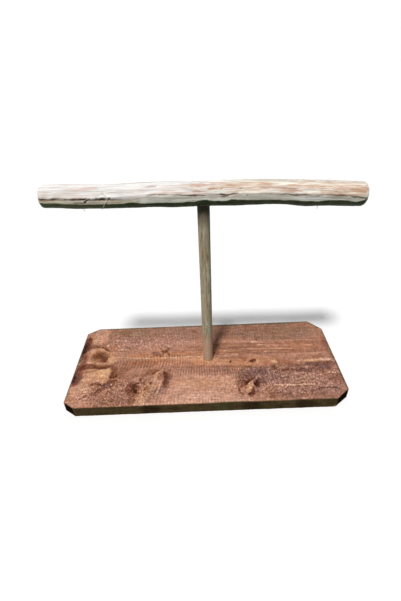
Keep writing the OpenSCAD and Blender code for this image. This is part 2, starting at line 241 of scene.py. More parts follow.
# Each mark has its stain, how strong it is, how far it stands up in millimetres, its size and its points.
# One point makes an oval of half length, half width and, if it is turned, its turn. More points make a
# stroke of half width.
BOARD_MARKS = [
    # Broad tints.
    ("grey", 0.4, 0, (150, 15), (30, 58)), ("grey", 0.3, 0, (100, 15), (-40, 54)),
    ("grey", 0.65, 0, (60, 14), (100, 46)), ("brown", 0.2, 0, (70, 10), (100, 60)),
    ("brown", 0.15, 0, (45, 12), (60, 48)), ("olive", 0.3, 0, (14, 6), (110, 52)),
    ("olive", 0.4, 0, (20, 8), (-104, 58)), ("brown", 0.4, 0, (5, 4), (-110, 54)),
    ("maroon", 0.3, 0, (12, 4), (-116, 61)), ("pink", 0.3, 0, (40, 14), (-60, 30)),
    ("mauve", 0.35, 0, (38, 10), (-90, 36)), ("mauve", 0.25, 0, (30, 10), (-40, 38)),
    ("pink", 0.55, 0, (52, 22), (-10, -46)), ("tan", 0.35, 0, (40, 9), (0, -40)),
    ("pink", 0.4, 0, (60, 12), (-40, -58)), ("blush", 0.35, 0, (45, 8), (10, -60)),
    # Bands along the middle, and the plum front.
    ("orange", 0.6, 0, 6.5, (-100, -2), (-60, -1), (0, -3), (40, -6), (75, -7), (110, -7)),
    ("brown", 0.4, 0, 6.5, (-105, -3), (-85, -3), (-62, -4)),
    ("tan", 0.3, 0, 5.5, (-20, -1), (20, -5), (45, -7), (70, -10)),
    ("orange", 0.55, 0, 5, (-100, 13), (-60, 12), (-40, 12), (0, 13), (40, 13)),
    ("orange", 0.4, 0, 9, (60, 20), (110, 20), (150, 16)), ("rose", 0.6, 0, (50, 6), (110, 0)),
    ("brown", 0.4, 0, 6, (106, -9), (88, -14), (86, -22)), ("maroon", 0.4, 0, 3, (136, -1), (150, -2)),
    ("plum", 0.3, 0, (60, 20), (105, -38)), ("plum", 0.35, 0, (40, 9), (120, -60)),
    ("brown", 0.25, 0, (30, 6), (100, -62)), ("plum", 0.2, 0, (50, 12), (-100, -55)),
    # Worn edges.
    ("moss", 0.85, -0.05, 2, (-45, 68.6), (30, 68.2), (140, 67.6)),
    ("moss", 0.8, -0.05, 1.8, (-150, 68.6), (-45, 68.8)), ("moss", 0.8, -0.05, 1.6, (-163, 60), (-152, 68)),
    ("moss", 0.6, -0.05, 1.6, (150, 68), (164, 52)),
    ("moss", 0.85, -0.1, 1.6, (164, 50), (164.2, 0), (164.3, -56)),
    ("maroon", 0.4, -0.05, 1.6, (161, 38), (161.5, -10)), ("maroon", 0.35, 0, 2.5, (159, 38), (160, 4)),
    ("maroon", 0.55, -0.05, 4.8, (157, -36), (158.5, -52)), ("brown", 0.6, -0.1, (4, 3), (155, -38)),
    # The left end.
    ("pink", 0.85, 0, (12, 9), (-143, 60)), ("maroon", 0.22, 0, 3, (-145, 62), (-138, 60)),
    ("pink", 0.75, 0, (11, 9), (-143, 48)), ("cream", 0.5, 0.05, (4, 6), (-151, 45)),
    ("tan", 0.5, 0, 3.4, (-150, 37), (-140, 38)),
    ("grey", 0.6, -0.05, 1.8, (-130, 62), (-131, 50), (-130, 42)),
    ("maroon", 0.9, -0.1, 3.6, (-159.5, 52), (-158, 44), (-157.5, 38)),
    (
        "maroon", 0.8, 0, 3.2, (-160, 54), (-158.5, 36), (-160.5, 22), (-157.5, 8), (-158.5, -8),
        (-160, -22), (-160.5, -34),
    ),
    ("ink", 0.75, 0, 1.6, (-162.6, 48), (-162.4, 22), (-162.5, 2)),
    ("ink", 0.75, 0, 1.5, (-162.5, -8), (-162.3, -34)),
    ("brown", 0.8, -0.1, 3.2, (-157, 36), (-156, 30), (-155, 24)),
    ("ink", 0.95, -0.25, (10, 3.8, 84), (-161, 30)), ("maroon", 0.6, -0.1, (6, 3, 80), (-158, 30)),
    ("ink", 0.9, -0.2, (4.5, 3.4), (-162.5, 22)), ("maroon", 0.85, -0.1, 3.6, (-158, 15), (-157, 8)),
    ("rust", 0.6, -0.1, 1.6, (-153, 18), (-152, 8)), ("olive", 0.4, 0, (3, 5), (-161, 8)),
    ("orange", 0.7, 0.05, 1.3, (-155, 60), (-154.5, 46), (-154, 40)),
    ("moss", 0.8, 0, 1.2, (-164, 56), (-164, 40)), ("moss", 0.7, 0, 1.3, (-164, 18), (-164, -20)),
    ("moss", 0.6, 0, 1.1, (-163.8, -34), (-163.6, -58)),
    # Its front corner, and the ground under the knots.
    ("blush", 0.7, 0.05, 0.8, (-162, -58), (-153, -67)), ("pink", 0.65, 0, (13, 14), (-151, -48)),
    ("tan", 0.6, 0.05, 2.6, (-157, -40), (-158, -52)), ("pink", 0.7, 0.05, 1.4, (-153, -34), (-151, -46)),
    ("tan", 0.5, 0.1, 5, (-147, -31), (-147, -42), (-143, -50)),
    ("tan", 0.85, 0.4, (17, 11, 8), (-138, -21)), ("orange", 0.3, 0, (14, 9), (-132, -19)),
    ("orange", 0.3, 0, (24, 16), (-136, 15)), ("pink", 0.12, 0, (55, 14), (-70, 40)),
    # The umber stroke just behind the dowel's foot is painted shadow that deepens the dowel's cast shadow on
    # the board.
    ("pink", 0.16, 0, (17, 10), (76, -28)), ("umber", 0.4, 0, 3, (14.5, 3), (16, 14), (19, 30)),
    # The front half of the large knot, and torn wood before it.
    ("tan", 0.7, 0.15, (8, 10), (-126, -18)), ("pink", 0.35, 0, (7, 5, 12), (-143, -24)),
    ("cream", 0.35, 0.05, (8, 3, 10), (-135, -15)), ("cream", 0.45, 0.1, (7, 5, 60), (-124, -15)),
    ("tan", 0.6, 0.15, 3.4, (-123, -26), (-122, -31)),
    ("tan", 0.7, 0.2, 1.4, (-151, -13), (-147, -10), (-141, -8)),
    ("tan", 0.7, 0.1, 1.3, (-148, -13.5), (-143, -12)),
    ("brown", 0.75, -0.3, 1.2, (-154, -16), (-147, -14.5), (-138, -12.5), (-130, -9.5)),
    ("brown", 0.6, -0.2, (1.6, 2.2), (-149, -15)), ("blush", 0.8, 0.1, 1.2, (-150, -30), (-154, -27)),
    ("blush", 0.9, 0.25, 1.3, (-134, -28), (-131, -33)),
    ("blush", 0.6, 0.15, 0.9, (-137, -29), (-135.5, -33)),
    ("brown", 0.6, -0.3, 0.8, (-133.5, -27), (-133, -33)),
    ("brown", 0.4, -0.2, 1, (-127, -22), (-128, -28)),
    ("chestnut", 1, -0.4, 4.2, (-163, -2.5), (-150, -4), (-140, -5.5), (-128, -6), (-119, -5)),
    ("brown", 0.45, -0.1, 3, (-121, -3), (-112, -1)),
    ("umber", 0.5, -0.25, 1.3, (-142, -8), (-130, -8.8), (-122, -7)),
    ("chestnut", 0.5, -0.1, 1.6, (-150, -1), (-130, -2)), ("ink", 0.35, 0, 3, (-161, -5), (-154, -6)),
    ("orange", 0.5, 0.1, 2, (-133, -2), (-129, -4)), ("maroon", 0.95, -0.15, (5, 4.2), (-158, -8)),
    ("ink", 0.45, -0.1, (2.6, 2.2), (-157.5, -6)), ("maroon", 0.8, -0.1, 3.4, (-157, -16), (-159, -22)),
    ("maroon", 0.95, -0.2, (8, 5.2, 84), (-160, -28)), ("ink", 0.85, -0.2, (6, 2.4, 84), (-162, -25)),
    ("brown", 0.6, -0.1, 2.2, (-155, -21), (-154, -30)), ("plum", 0.6, 0, 3, (-158, -19), (-158.5, -33)),
    ("ink", 0.6, -0.1, 1.6, (-160.6, -21), (-160.6, -31)), ("brown", 0.35, 0, (11, 9), (-107, -17)),
    ("brown", 0.75, -0.15, 4.4, (-120, -4), (-116.5, -10), (-114, -17), (-113, -27)),
    ("chestnut", 0.8, -0.3, 2.2, (-118, -7), (-115.5, -13), (-115.5, -19), (-115, -26)),
    ("chestnut", 0.75, -0.2, (5.6, 3.4, 12), (-113, -23.5)),
    ("umber", 0.6, -0.2, 1.2, (-119, -33), (-113, -31)), ("umber", 0.4, -0.15, 1.5, (-119, -26), (-108, -24)),
    ("umber", 0.7, -0.45, 1.6, (-118.5, -21), (-117.5, -27)), ("brown", 0.3, 0, (12, 6), (-105, -11)),
    ("plum", 0.25, 0, (14, 5), (-98, -8)), ("mauve", 0.6, 0, (5, 1.2), (-90, -17)),
    ("brown", 0.55, -0.1, 1.2, (-90, -24), (-85, -23)),
    ("chestnut", 1, -0.3, 1.9, (-140, -35), (-132, -34), (-126, -37)),
    ("brown", 0.7, -0.2, 1.2, (-137, -32), (-138, -38)),
    ("chestnut", 0.85, -0.3, 1.8, (-122, -34), (-117, -30), (-110, -31)),
    ("plum", 0.95, -0.2, 3, (-123, -39), (-117, -36), (-112, -39)),
    ("maroon", 0.5, -0.1, (4, 3), (-117, -39)), ("umber", 0.6, -0.3, 1.4, (-120, -41), (-117, -43)),
    ("umber", 0.65, -0.35, 1.2, (-125, -37), (-122, -43)), ("blush", 0.9, 0.2, (1.4, 1.2), (-114, -35)),
    ("umber", 0.6, -0.3, 1.7, (-131, -43), (-127, -44), (-123, -40)),
    ("chestnut", 0.55, -0.1, (5, 3.4, 20), (-129, -48)), ("brown", 0.6, -0.2, 1.4, (-133, -47), (-135, -52)),
    ("chestnut", 0.75, -0.2, 1.6, (-140, -52), (-147, -57)),
    ("umber", 0.4, -0.2, 0.9, (-146, -53), (-147.5, -57)), ("blush", 0.6, 0.1, (1.2, 2.6, -20), (-141, -56)),
    ("brown", 0.25, 0, 1.4, (-120, -52), (-118, -60)), ("pink", 0.45, 0.05, 1, (-104, -44), (-96, -40)),
    ("orange", 0.95, 0, (3.4, 2, 20), (-157, -59)), ("rust", 0.5, -0.05, 1, (-149, -55), (-153, -57)),
    ("pink", 0.6, 0, (5, 3), (-147, -66)), ("brown", 0.45, 0, (7, 11), (-87, -57)),
    # The back half of the large knot.
    ("tan", 0.8, 0.25, (18, 13, -36), (-136.5, 12)), ("blush", 0.8, 0.25, (3.6, 2.6, 20), (-150, 25)),
    ("tan", 0.8, 0.3, 1.5, (-148, 27), (-140, 28), (-134, 24), (-128, 19), (-121, 12)),
    ("cream", 0.4, 0.2, 1.2, (-150, 20), (-149, 12), (-144, 4), (-137, -1)),
    ("brown", 1, -0.15, (14, 9, -38), (-136, 12)), ("chestnut", 0.75, 0, (12.8, 7.8, -38), (-136, 12)),
    ("olive", 0.4, 0, (5, 2.4, -36), (-132, 15)), ("rust", 0.45, -0.1, (3.6, 3.2), (-145, 17)),
    ("maroon", 0.75, -0.1, (4.8, 3.6, -20), (-131, 5)), ("olive", 0.6, 0, 1.2, (-138, 9), (-139, 4)),
    ("umber", 0.5, -0.25, 1, (-148, 20), (-147, 13), (-143, 6), (-137, 1.5)),
    ("blush", 0.85, 0.15, (3.2, 1.8, -20), (-149, 2)),
    ("brown", 0.6, -0.25, 1.9, (-151, 16), (-147, 7), (-140, 0)),
    ("chestnut", 0.85, -0.3, 2, (-156, 29.5), (-148, 31.5), (-140, 31.5)),
    ("brown", 0.4, -0.05, 2.8, (-153, 34), (-143, 34), (-133, 32)),
    ("brown", 0.5, -0.1, 1, (-151, 36), (-146, 33)), ("umber", 0.95, -0.45, 1.3, (-138, 31), (-135, 29)),
    ("umber", 0.85, -0.35, 1.7, (-134, 29), (-130.5, 25.5), (-127.5, 22.5)),
    ("brown", 0.5, -0.1, 1.2, (-133, 37), (-129, 35), (-127, 31)),
    ("blush", 0.8, 0.15, (2, 1.8, 20), (-131, 34)), ("rust", 0.7, -0.2, 1.2, (-128, 19), (-124, 16)),
    ("rust", 0.45, -0.1, 1.6, (-122, 25), (-120, 21), (-114, 22)), ("tan", 0.7, 0.1, (7, 6), (-120, 6)),
    ("cream", 0.6, 0.1, 1.2, (-124, 2), (-121, 4)),
    ("tan", 0.6, 0.05, 0.9, (-124, 24), (-120, 17), (-110, 13.5), (-95, 12)),
    ("pink", 0.5, 0.05, 0.9, (-118, 26), (-112, 18), (-100, 15.5), (-88, 15)),
    ("blush", 0.85, 0.15, (4, 2), (-113, 26)), ("blush", 0.6, 0.1, (2, 2), (-105, 25)),
    ("pink", 0.7, 0.1, (2.4, 1.4), (-111, 30)),
    # Long streaks left of the dowel.
    ("straw", 0.85, 0.2, 0.8, (-112, 10.4), (-97, 8), (-80, 6.6), (-66, 6)),
    ("straw", 0.8, 0.15, 0.9, (-66, 6), (-40, 6.3), (-20, 6.8), (-2, 5.4)),
    ("orange", 0.7, 0, 2.4, (-100, 11), (-88, 10.5), (-76, 9.5)),
    ("brown", 0.5, -0.1, 0.8, (-95, 13), (-94, 9)), ("tan", 0.5, 0, 3.2, (-45, 3), (-20, 3.5), (-3, 2)),
    ("brown", 0.4, -0.1, 0.7, (-40, 8.6), (-20, 8.4), (-2, 7.6)),
    ("tan", 0.5, 0.05, 1, (-38, 12), (-20, 14), (-5, 12.5)),
    ("blush", 0.8, 0.1, 1.2, (-18, 20), (-11, 19.7)), ("pink", 0.6, 0.05, 0.6, (-20, 16.5), (-8, 16.5)),
    # The small knot behind them.
    ("plum", 0.65, 0, 2.8, (-70, 16), (-64, 13.5), (-59, 14)), ("brown", 0.65, -0.15, (6, 2.2), (-62, 11)),
    ("tan", 0.35, 0.25, (9, 6.5, -30), (-52, 19)), ("brown", 0.45, -0.05, (6.5, 3.6, -25), (-43.5, 21.5)),
    ("chestnut", 0.95, -0.45, (5, 3.6, -25), (-53, 18)), ("umber", 0.7, -0.3, (2.8, 2.4, -30), (-51, 17.5)),
    ("brown", 0.9, -0.3, 1.3, (-56, 21), (-58.5, 26)),
    ("chestnut", 0.95, -0.4, 1.4, (-50.5, 27), (-48, 22.5), (-46, 20.5)),
    ("chestnut", 0.95, -0.35, 1.7, (-49, 15.5), (-46, 10)),
    ("chestnut", 0.7, -0.25, 1.3, (-60, 6.5), (-56, 12), (-54, 16)),
    ("blush", 0.85, 0.3, (3.6, 2), (-47.5, 27.4)), ("pink", 0.5, 0.15, (4, 2, -10), (-43, 20)),
    ("tan", 0.9, 0.25, (2.6, 1.8, 40), (-58, 21)),
    # The knot in front on the left.
    ("brown", 0.8, -0.3, 3.4, (-73, -17), (-66, -19), (-60, -16)),
    ("brown", 0.45, -0.15, (6, 3, 20), (-75, -22)),
    ("chestnut", 0.8, -0.35, 1.4, (-66, -20.5), (-61, -18.5), (-57, -17)),
    ("tan", 0.85, 0.4, 1.2, (-61, -22.5), (-56.5, -19.5), (-53, -14)),
    ("cream", 0.7, 0.3, (2.4, 1.2, 55), (-54, -16)),
    ("pink", 0.7, 0.1, 2.4, (-92, -29), (-86, -31), (-80, -36)), ("brown", 0.18, 0, (14, 15), (-76, -38)),
    ("chestnut", 0.95, -0.25, 1.9, (-82, -27), (-79, -33)),
    ("chestnut", 0.9, -0.2, 1.9, (-79, -36), (-74, -34)), ("blush", 0.7, 0.15, 1, (-77, -30), (-76, -33)),
    ("blush", 0.7, 0.2, 1.2, (-82, -39), (-76, -38)), ("maroon", 0.95, -0.2, (8.5, 3.8, 84), (-92, -43)),
    ("chestnut", 1, -0.3, (9.5, 4.6, 84), (-84.5, -44)), ("umber", 0.55, -0.2, (8, 3, 84), (-86, -45)),
    ("umber", 0.8, -0.3, 1.6, (-83, -47), (-80, -53)), ("chestnut", 0.55, -0.2, 1.5, (-89, -50), (-90, -66)),
    ("chestnut", 0.5, -0.2, 1.2, (-85.5, -52), (-86, -64)), ("tan", 0.7, 0.1, (1, 1.4), (-82, -49)),
    ("rust", 0.75, -0.25, 1.6, (-75, -40), (-72, -36)),
    ("tan", 0.6, 0.45, 6.6, (-62, -30), (-66, -40), (-72, -52), (-76, -62), (-77, -69)),
    ("tan", 0.5, 0.4, 4.2, (-58, -24), (-62, -32)), ("brown", 0.5, -0.1, (5.4, 3.8, 70), (-56.5, -27)),
    ("rust", 0.8, -0.3, 0.9, (-61, -25), (-58, -31)), ("chestnut", 0.9, -0.4, 1.5, (-65, -33), (-67.5, -39)),
    ("brown", 0.7, -0.25, 1, (-57, -34), (-56.5, -37)), ("rust", 0.95, -0.3, 1.4, (-71.5, -39), (-74, -47)),
    ("orange", 0.7, -0.1, 1.3, (-78, -46), (-79, -52)), ("brown", 0.5, -0.2, 0.8, (-69, -44), (-70, -49)),
    ("brown", 0.55, -0.2, 1.6, (-65, -52), (-68, -66)), ("pink", 0.4, 0.05, 3, (-73, -56), (-76, -66)),
    ("olive", 0.5, 0, 1.4, (-70, -57), (-71, -63)), ("pink", 0.6, 0.3, (3.4, 5), (-55, -36)),
    # The next six lines of marks, right of the ridge near x -48, are painted shadow cast by the ridge, over a
    # groove cut into the top.
    ("plum", 0.85, -0.15, (13.5, 4.4, 86), (-47.5, -31)),
    ("umber", 0.95, -0.7, 2.5, (-51, -18), (-49.2, -24), (-48.6, -32)),
    ("chestnut", 0.9, -0.5, 2.5, (-48.6, -30), (-48.8, -41)),
    ("brown", 0.5, -0.2, 3, (-50, -18), (-47.4, -26), (-47.4, -37)),
    ("umber", 0.85, -0.5, 1.2, (-52, -17.5), (-49.5, -21)),
    ("umber", 0.7, -0.35, (3.4, 2.2, 20), (-50.5, -42.5)), ("brown", 0.6, -0.1, 1, (-46, -38), (-45, -42)),
    ("mauve", 0.85, -0.1, (7, 5, 30), (-52, -49)), ("plum", 0.8, -0.1, 1.2, (-54, -46), (-56, -50)),
    ("umber", 0.9, -0.6, 1.6, (-57, -44.5), (-60, -50.5), (-62.8, -57)),
    ("blush", 0.95, 0.4, 1.2, (-54.6, -42), (-57.8, -48.5), (-61, -56)),
    # The knot in front on the right.
    ("mauve", 0.7, 0, (22, 14), (70, -30)), ("plum", 0.4, 0, (12, 7), (66, -24)),
    ("mauve", 0.5, 0, (10, 5), (52, -22)), ("blush", 0.5, 0.05, 0.8, (78, -19), (78, -28), (78.5, -36)),
    ("umber", 0.6, -0.3, (1.4, 2), (68, -28)), ("blush", 0.6, 0.1, (1.4, 1.8), (65, -29)),
    ("blush", 0.6, 0.1, 0.9, (71, -40), (74, -38), (76, -42)), ("plum", 0.4, 0, (10, 9, 40), (44, -36)),
    # The first mark on the next line, the strong plum oval right of the knot hole, is painted shadow.
    ("plum", 0.95, -0.1, (7, 4.6), (65, -40)), ("plum", 0.3, 0, (24, 13), (64, -32)),
    ("mauve", 0.3, 0, (48, 22), (122, -44)), ("brown", 0.28, 0, (15, 10, 60), (47, -50)),
    ("chestnut", 1, -0.25, (6.5, 4.8, 60), (53.5, -56)), ("umber", 0.8, -0.2, (4.4, 2.8, 70), (51.5, -59)),
    ("umber", 0.5, -0.2, 2.2, (57, -50), (54.5, -54), (51, -59), (49.5, -63)),
    ("orange", 0.4, 0.05, (7, 5.4, 70), (44, -52)),
    ("chestnut", 0.9, -0.25, 1.8, (44, -45), (39.5, -49), (39.5, -54), (43, -60)),
    ("pink", 0.7, 0.1, 1.4, (42.5, -50), (42, -54)),
    ("chestnut", 1, -0.5, 2.7, (57.5, -34), (53, -37.2), (49, -41), (46.5, -45.5)),
    ("umber", 1, -0.35, 1.6, (54.5, -36.4), (48.5, -42)),
    ("tan", 0.8, 0.5, 2.9, (57, -38), (54, -44), (51, -50), (47.5, -57)),
    ("cream", 0.25, 0.1, 1.6, (55, -42), (52, -47)), ("cream", 0.4, 0.25, (3.2, 2.4, 60), (50, -50)),
    # The dark of the knot hole in the next three lines is painted shade in the hollow, over the hole cut into
    # the top.
    ("umber", 1, -1.2, 2.3, (59.8, -37), (59.8, -41), (58.2, -46.8)),
    ("ink", 0.6, -0.4, 1.6, (60.2, -38.5), (59.2, -45.5)),
    ("chestnut", 0.8, -0.5, 1.3, (61.6, -38), (61, -44)),
    ("blush", 0.9, 0.5, 1, (60.8, -31.5), (59.2, -35.5)), ("mauve", 0.8, 0.1, (4, 3.6, 40), (60, -51)),
    ("blush", 0.6, 0.1, 0.6, (58.5, -50), (62, -51), (62, -54)),
    # Streaks on the front half, right of the dowel.
    ("brown", 0.6, -0.1, 1.7, (-38, -12.5), (0, -12.5), (30, -13.5), (55, -15.5), (72, -17)),
    ("plum", 0.4, 0, 4, (-40, -18), (-10, -18), (20, -19), (36, -18)), ("plum", 0.3, 0, (30, 5), (20, -23)),
    ("brown", 0.6, -0.15, 1.6, (84, -15), (85, -22)),
    ("brown", 0.95, -0.15, 1.4, (90, -22), (106, -22.4), (134, -22.8)),
    ("plum", 0.7, -0.1, 2, (111, -25), (120, -26), (132, -26.6)),
    ("plum", 0.8, -0.1, 1.6, (112, -21), (134, -21.5)), ("brown", 0.6, -0.1, 1.4, (88, -27), (94, -28)),
    ("olive", 0.5, 0, 1.2, (88, -18), (98, -18)),
    ("plum", 0.8, -0.1, 4, (126, -14.5), (140, -15), (152, -15.5), (163, -14.5)),
    ("brown", 0.5, -0.05, 2.4, (104, -14.5), (124, -15)),
    ("umber", 0.55, -0.2, 0.9, (126, -12), (140, -12.4), (160, -11.8)),
    ("plum", 0.6, 0, 3, (140, -21), (156, -22)), ("blush", 0.5, 0.1, 1, (148, -30), (160, -31)),
    ("blush", 0.5, 0.1, 1, (140, -29), (139, -34)), ("tan", 0.55, 0.05, (2.4, 1.5), (124.5, -19.5)),
    ("tan", 0.7, 0.05, (1.6, 1.4), (131.5, -19.5)),
    ("blush", 0.4, 0.05, 1, (107, -30), (112, -29), (126, -29)),
    ("blush", 0.5, 0.05, 0.8, (106, -31), (106, -36)), ("blush", 0.6, 0.1, 1.6, (94, -33), (99, -33)),
    ("plum", 0.6, -0.1, 2.6, (95, -35), (104, -37)), ("blush", 0.6, 0.1, (4, 1.4, 30), (115, -36)),
    ("blush", 0.6, 0.1, 1, (128, -34), (134, -40)), ("olive", 0.35, 0, (10, 5), (118, -40)),
    ("brown", 0.6, -0.1, 1, (120, -43), (128, -45)),
    # Lines along the middle on the right.
    ("orange", 0.35, 0, (12, 5), (54, -6)), ("brown", 0.15, 0, 5, (50, -6), (100, -6)),
    ("brown", 0.45, -0.1, (6, 3.5), (50, 2)), ("chestnut", 1, -0.4, (5.2, 2.9), (60.4, -5)),
    ("umber", 0.85, -0.1, (4, 2), (60.8, -5.2)), ("rust", 0.5, -0.1, (2.6, 2), (49.5, -3)),
    ("tan", 0.7, 0.15, (2.8, 3), (67, -6)), ("olive", 0.5, 0, 1.8, (68, -3), (76, -5)),
    ("tan", 0.7, 0.05, 1.6, (80, -4), (84, -6)), ("cream", 0.75, 0.15, 2.5, (83, -8), (92, -8.2)),
    ("orange", 0.6, 0, 1.4, (60, 0), (75, 1), (90, -3)), ("pink", 0.65, 0.05, 1.6, (116, -8.4), (126, -8.2)),
    ("tan", 0.85, 0.1, 1.2, (122, -8.7), (136, -8.1), (151, -7.6)),
    ("cream", 0.5, 0.1, 1.7, (127, -8.3), (142, -8)), ("plum", 0.5, -0.05, (30, 7), (128, -20)),
    ("pink", 0.2, 0, (44, 17), (115, -46)), ("pink", 0.2, 0, (38, 9), (-5, -21)),
    ("chestnut", 0.35, -0.1, 2, (86, -13), (84, -24)), ("umber", 0.3, -0.1, 1.5, (93, -24), (112, -25)),
    ("cream", 0.4, 0.05, 1.2, (130, -7.6), (139, -7.6)), ("blush", 0.9, 0.1, 2.1, (143, -7.4), (160, -7)),
    ("maroon", 0.3, 0, (10, 3), (104, -10)), ("brown", 0.45, -0.1, 1, (123, 0), (120, 4)),
    # The back half, right of the dowel.
    ("brown", 0.5, -0.1, 1.4, (17, 1.5), (30, 1.3), (47, 2)), ("tan", 0.75, 0.1, 2, (21, 9), (44, 8.8)),
    ("blush", 0.8, 0.2, (1.8, 1.4, 50), (23, 10)), ("tan", 0.7, 0.1, 1, (30, 13.5), (40, 13)),
    ("brown", 0.6, -0.15, 0.7, (26, 11.3), (44, 11)), ("blush", 0.8, 0.2, (2, 1.5, 50), (26, 15)),
    ("brown", 0.65, -0.15, 0.9, (28, 21), (45, 20.6), (66, 20)),
    ("brown", 0.6, -0.15, 0.8, (52, 15.4), (80, 14), (112, 12.6)),
    ("blush", 0.8, 0.12, 0.7, (46, 18.4), (60, 17.4), (96, 15.2), (122, 13.6)),
    ("tan", 0.5, 0.05, 0.7, (40, 12.5), (70, 12), (96, 12.5)),
    ("brown", 0.55, -0.1, 0.7, (66, 19.6), (90, 18.6), (118, 17.4)),
    ("blush", 0.7, 0.1, 1, (68, 24), (80, 23.6)), ("pink", 0.8, 0.05, (5, 4), (85, 23)),
    ("pink", 0.85, 0.1, 1.5, (90, 23.5), (100, 23), (112, 23)), ("brown", 0.6, -0.1, (1, 1.6), (99, 18)),
    ("pink", 0.4, 0.05, 1.6, (80, 10), (74, 6)), ("olive", 0.4, 0, 1.4, (84, 11), (96, 8)),
    ("blush", 0.95, 0.25, 1.3, (64, 30.5), (67, 31), (70, 32.4)),
    ("umber", 0.8, -0.4, (1.3, 1.1), (70, 35.4)), ("brown", 0.5, 0, (3, 4), (70, 39)),
    ("brown", 0.25, 0, 3, (54, 40), (56, 34)), ("brown", 0.35, 0, 1, (56, 34), (84, 33)),
    ("brown", 0.5, -0.1, 1, (104, 34.5), (125, 33.5), (158, 33)),
    ("brown", 0.5, -0.1, 1, (76, 29.5), (98, 28.5), (120, 28)),
    ("brown", 0.5, -0.1, 1.4, (30, 54), (40, 53)), ("maroon", 0.3, 0, 1.6, (54, 46), (62, 43)),
    ("pink", 0.6, 0.05, 0.8, (131, 20.5), (145, 20)), ("brown", 0.55, -0.1, 0.7, (130, 18), (136, 17.5)),
    ("brown", 0.5, -0.1, 0.7, (140, 16.5), (144, 16.5)), ("brown", 0.5, -0.1, 0.8, (142, 13), (155, 12.5)),
    ("pink", 0.5, 0.05, 1, (128, 15), (139, 14.5)), ("tan", 0.5, 0, 0.8, (115, 5), (135, 4.5), (148, 4.5)),
    ("brown", 0.3, -0.05, 0.6, (90, 6), (110, 7.5), (150, 8)),
    # Streaks along the front.
    ("blush", 1, 0.15, 1, (80, -46.2), (96, -47.4), (128, -47.6)),
    ("brown", 0.9, -0.15, 0.9, (96, -49.3), (124, -49.6)), ("brown", 0.5, -0.1, 0.7, (80, -49), (92, -50)),
    ("tan", 0.6, 0.05, 1, (104, -42), (108, -44)),
    ("plum", 0.95, -0.15, 1.2, (128, -56), (134, -54), (144, -53), (154, -53.5)),
    ("umber", 0.5, -0.1, 0.8, (146, -53), (153, -54)), ("plum", 0.7, 0, (4, 3), (124, -58)),
    ("olive", 0.5, 0, 1, (138, -56), (140, -58)), ("brown", 0.25, 0, 3, (62, -58), (78, -58)),
    ("blush", 0.9, 0.05, 1, (-33, -44.2), (-18, -44)), ("pink", 0.6, 0, 0.7, (-38, -18), (-25, -18.5)),
    ("brown", 0.25, 0, 1.4, (-12, -43), (2, -44)), ("brown", 0.5, -0.05, 0.6, (18, -49.5), (30, -50)),
    ("blush", 0.5, 0.05, 0.9, (20, -32), (33, -32.5)), ("tan", 0.4, 0, 1.2, (-20, -40), (20, -39)),
    ("brown", 0.6, -0.1, (1.2, 1.2), (-20, -63)), ("brown", 0.5, -0.1, 0.8, (3, -64), (10, -65)),
    ("blush", 0.75, 0.05, 1.1, (-84, -67.4), (60, -67.4)), ("blush", 0.25, 0, 1.2, (60, -67), (140, -66.4)),
    ("brown", 0.45, -0.1, (0.7, 2), (-32, -56)),
    # The pin knot and the dowel's hole.
    ("chestnut", 1, -0.8, 1.2, (34.4, -2.4), (32.6, -4.6), (31.2, -6.8)),
    ("umber", 1, -0.6, (1.6, 1.2, 40), (33.8, -3.4)),
    ("cream", 0.9, 0.35, 1.1, (-0.5, 1.5), (0.5, -2.5), (3, -5)), ("tan", 0.6, 0.1, 2, (-6, 2), (-3, -3)),
    ("blush", 1, 0.4, 1.1, (13.6, 2.2), (14.4, -0.6)),
    # Pale flecks along the back.
    ("blush", 0.7, 0.15, 2, (-124, 42), (-119, 42)), ("blush", 0.75, 0.15, 1.8, (-110, 41), (-106, 42)),
    ("blush", 0.7, 0.15, (1.6, 3.2, 20), (-86, 40)), ("pink", 0.5, 0.1, (1.2, 2), (-98, 42)),
    ("pink", 0.6, 0.1, (1.4, 2.6, 20), (-64, 39)), ("pink", 0.7, 0.1, (1.6, 1.6), (-117, 32)),
    ("blush", 0.5, 0.1, (1.2, 2.8), (-28, 38)), ("blush", 0.5, 0.1, (1.2, 2.8), (-24, 36)),
    ("pink", 0.6, 0.05, (1.2, 2.6), (-37, 36)), ("pink", 0.5, 0.05, (1.8, 2.6), (-14, 34)),
    ("maroon", 0.3, 0, (3, 7, 30), (-14, 56)),
]


def linear(colour):
    """A colour as it looks on a screen, 0 to 255, as the plain light that Blender reckons in."""
    parts = np.array(colour[:3], float) / 255
    return np.where(parts <= 0.04045, parts / 12.92, ((parts + 0.055) / 1.055) ** 2.4)


def opaque(colour):
    """The same, with the fourth number that a socket wants."""
    return (*linear(colour).tolist(), 1.0)


def cover(under, share, colours):
    """Lays some colours over others, as strongly as the share says at each point."""
    return under + share[..., None] * (colours - under)


def lay(under, share, colour):
    """The same with one colour, given as it looks on a screen."""
    return cover(under, share, linear(colour))


def ease(share):
    """Turns a straight run from 0 to 1 into a soft one."""
    share = np.clip(share, 0, 1)
    return share * share * (3 - 2 * share)


def wander(across, along, seed):
    """Smooth unevenness from -1 to 1, the same each run, that changes once in each unit."""
    side = 128
    table = np.random.default_rng(seed).uniform(-1, 1, (side, side))
    column = np.floor(across).astype(int)
    row = np.floor(along).astype(int)
    part_x = across - column
    part_y = along - row
    part_x = part_x * part_x * (3 - 2 * part_x)
    part_y = part_y * part_y * (3 - 2 * part_y)
    near, far = [
        table[column % side, line % side] * (1 - part_x) + table[(column + 1) % side, line % side] * part_x
        for line in (row, row + 1)
    ]
    return near * (1 - part_y) + far * part_y


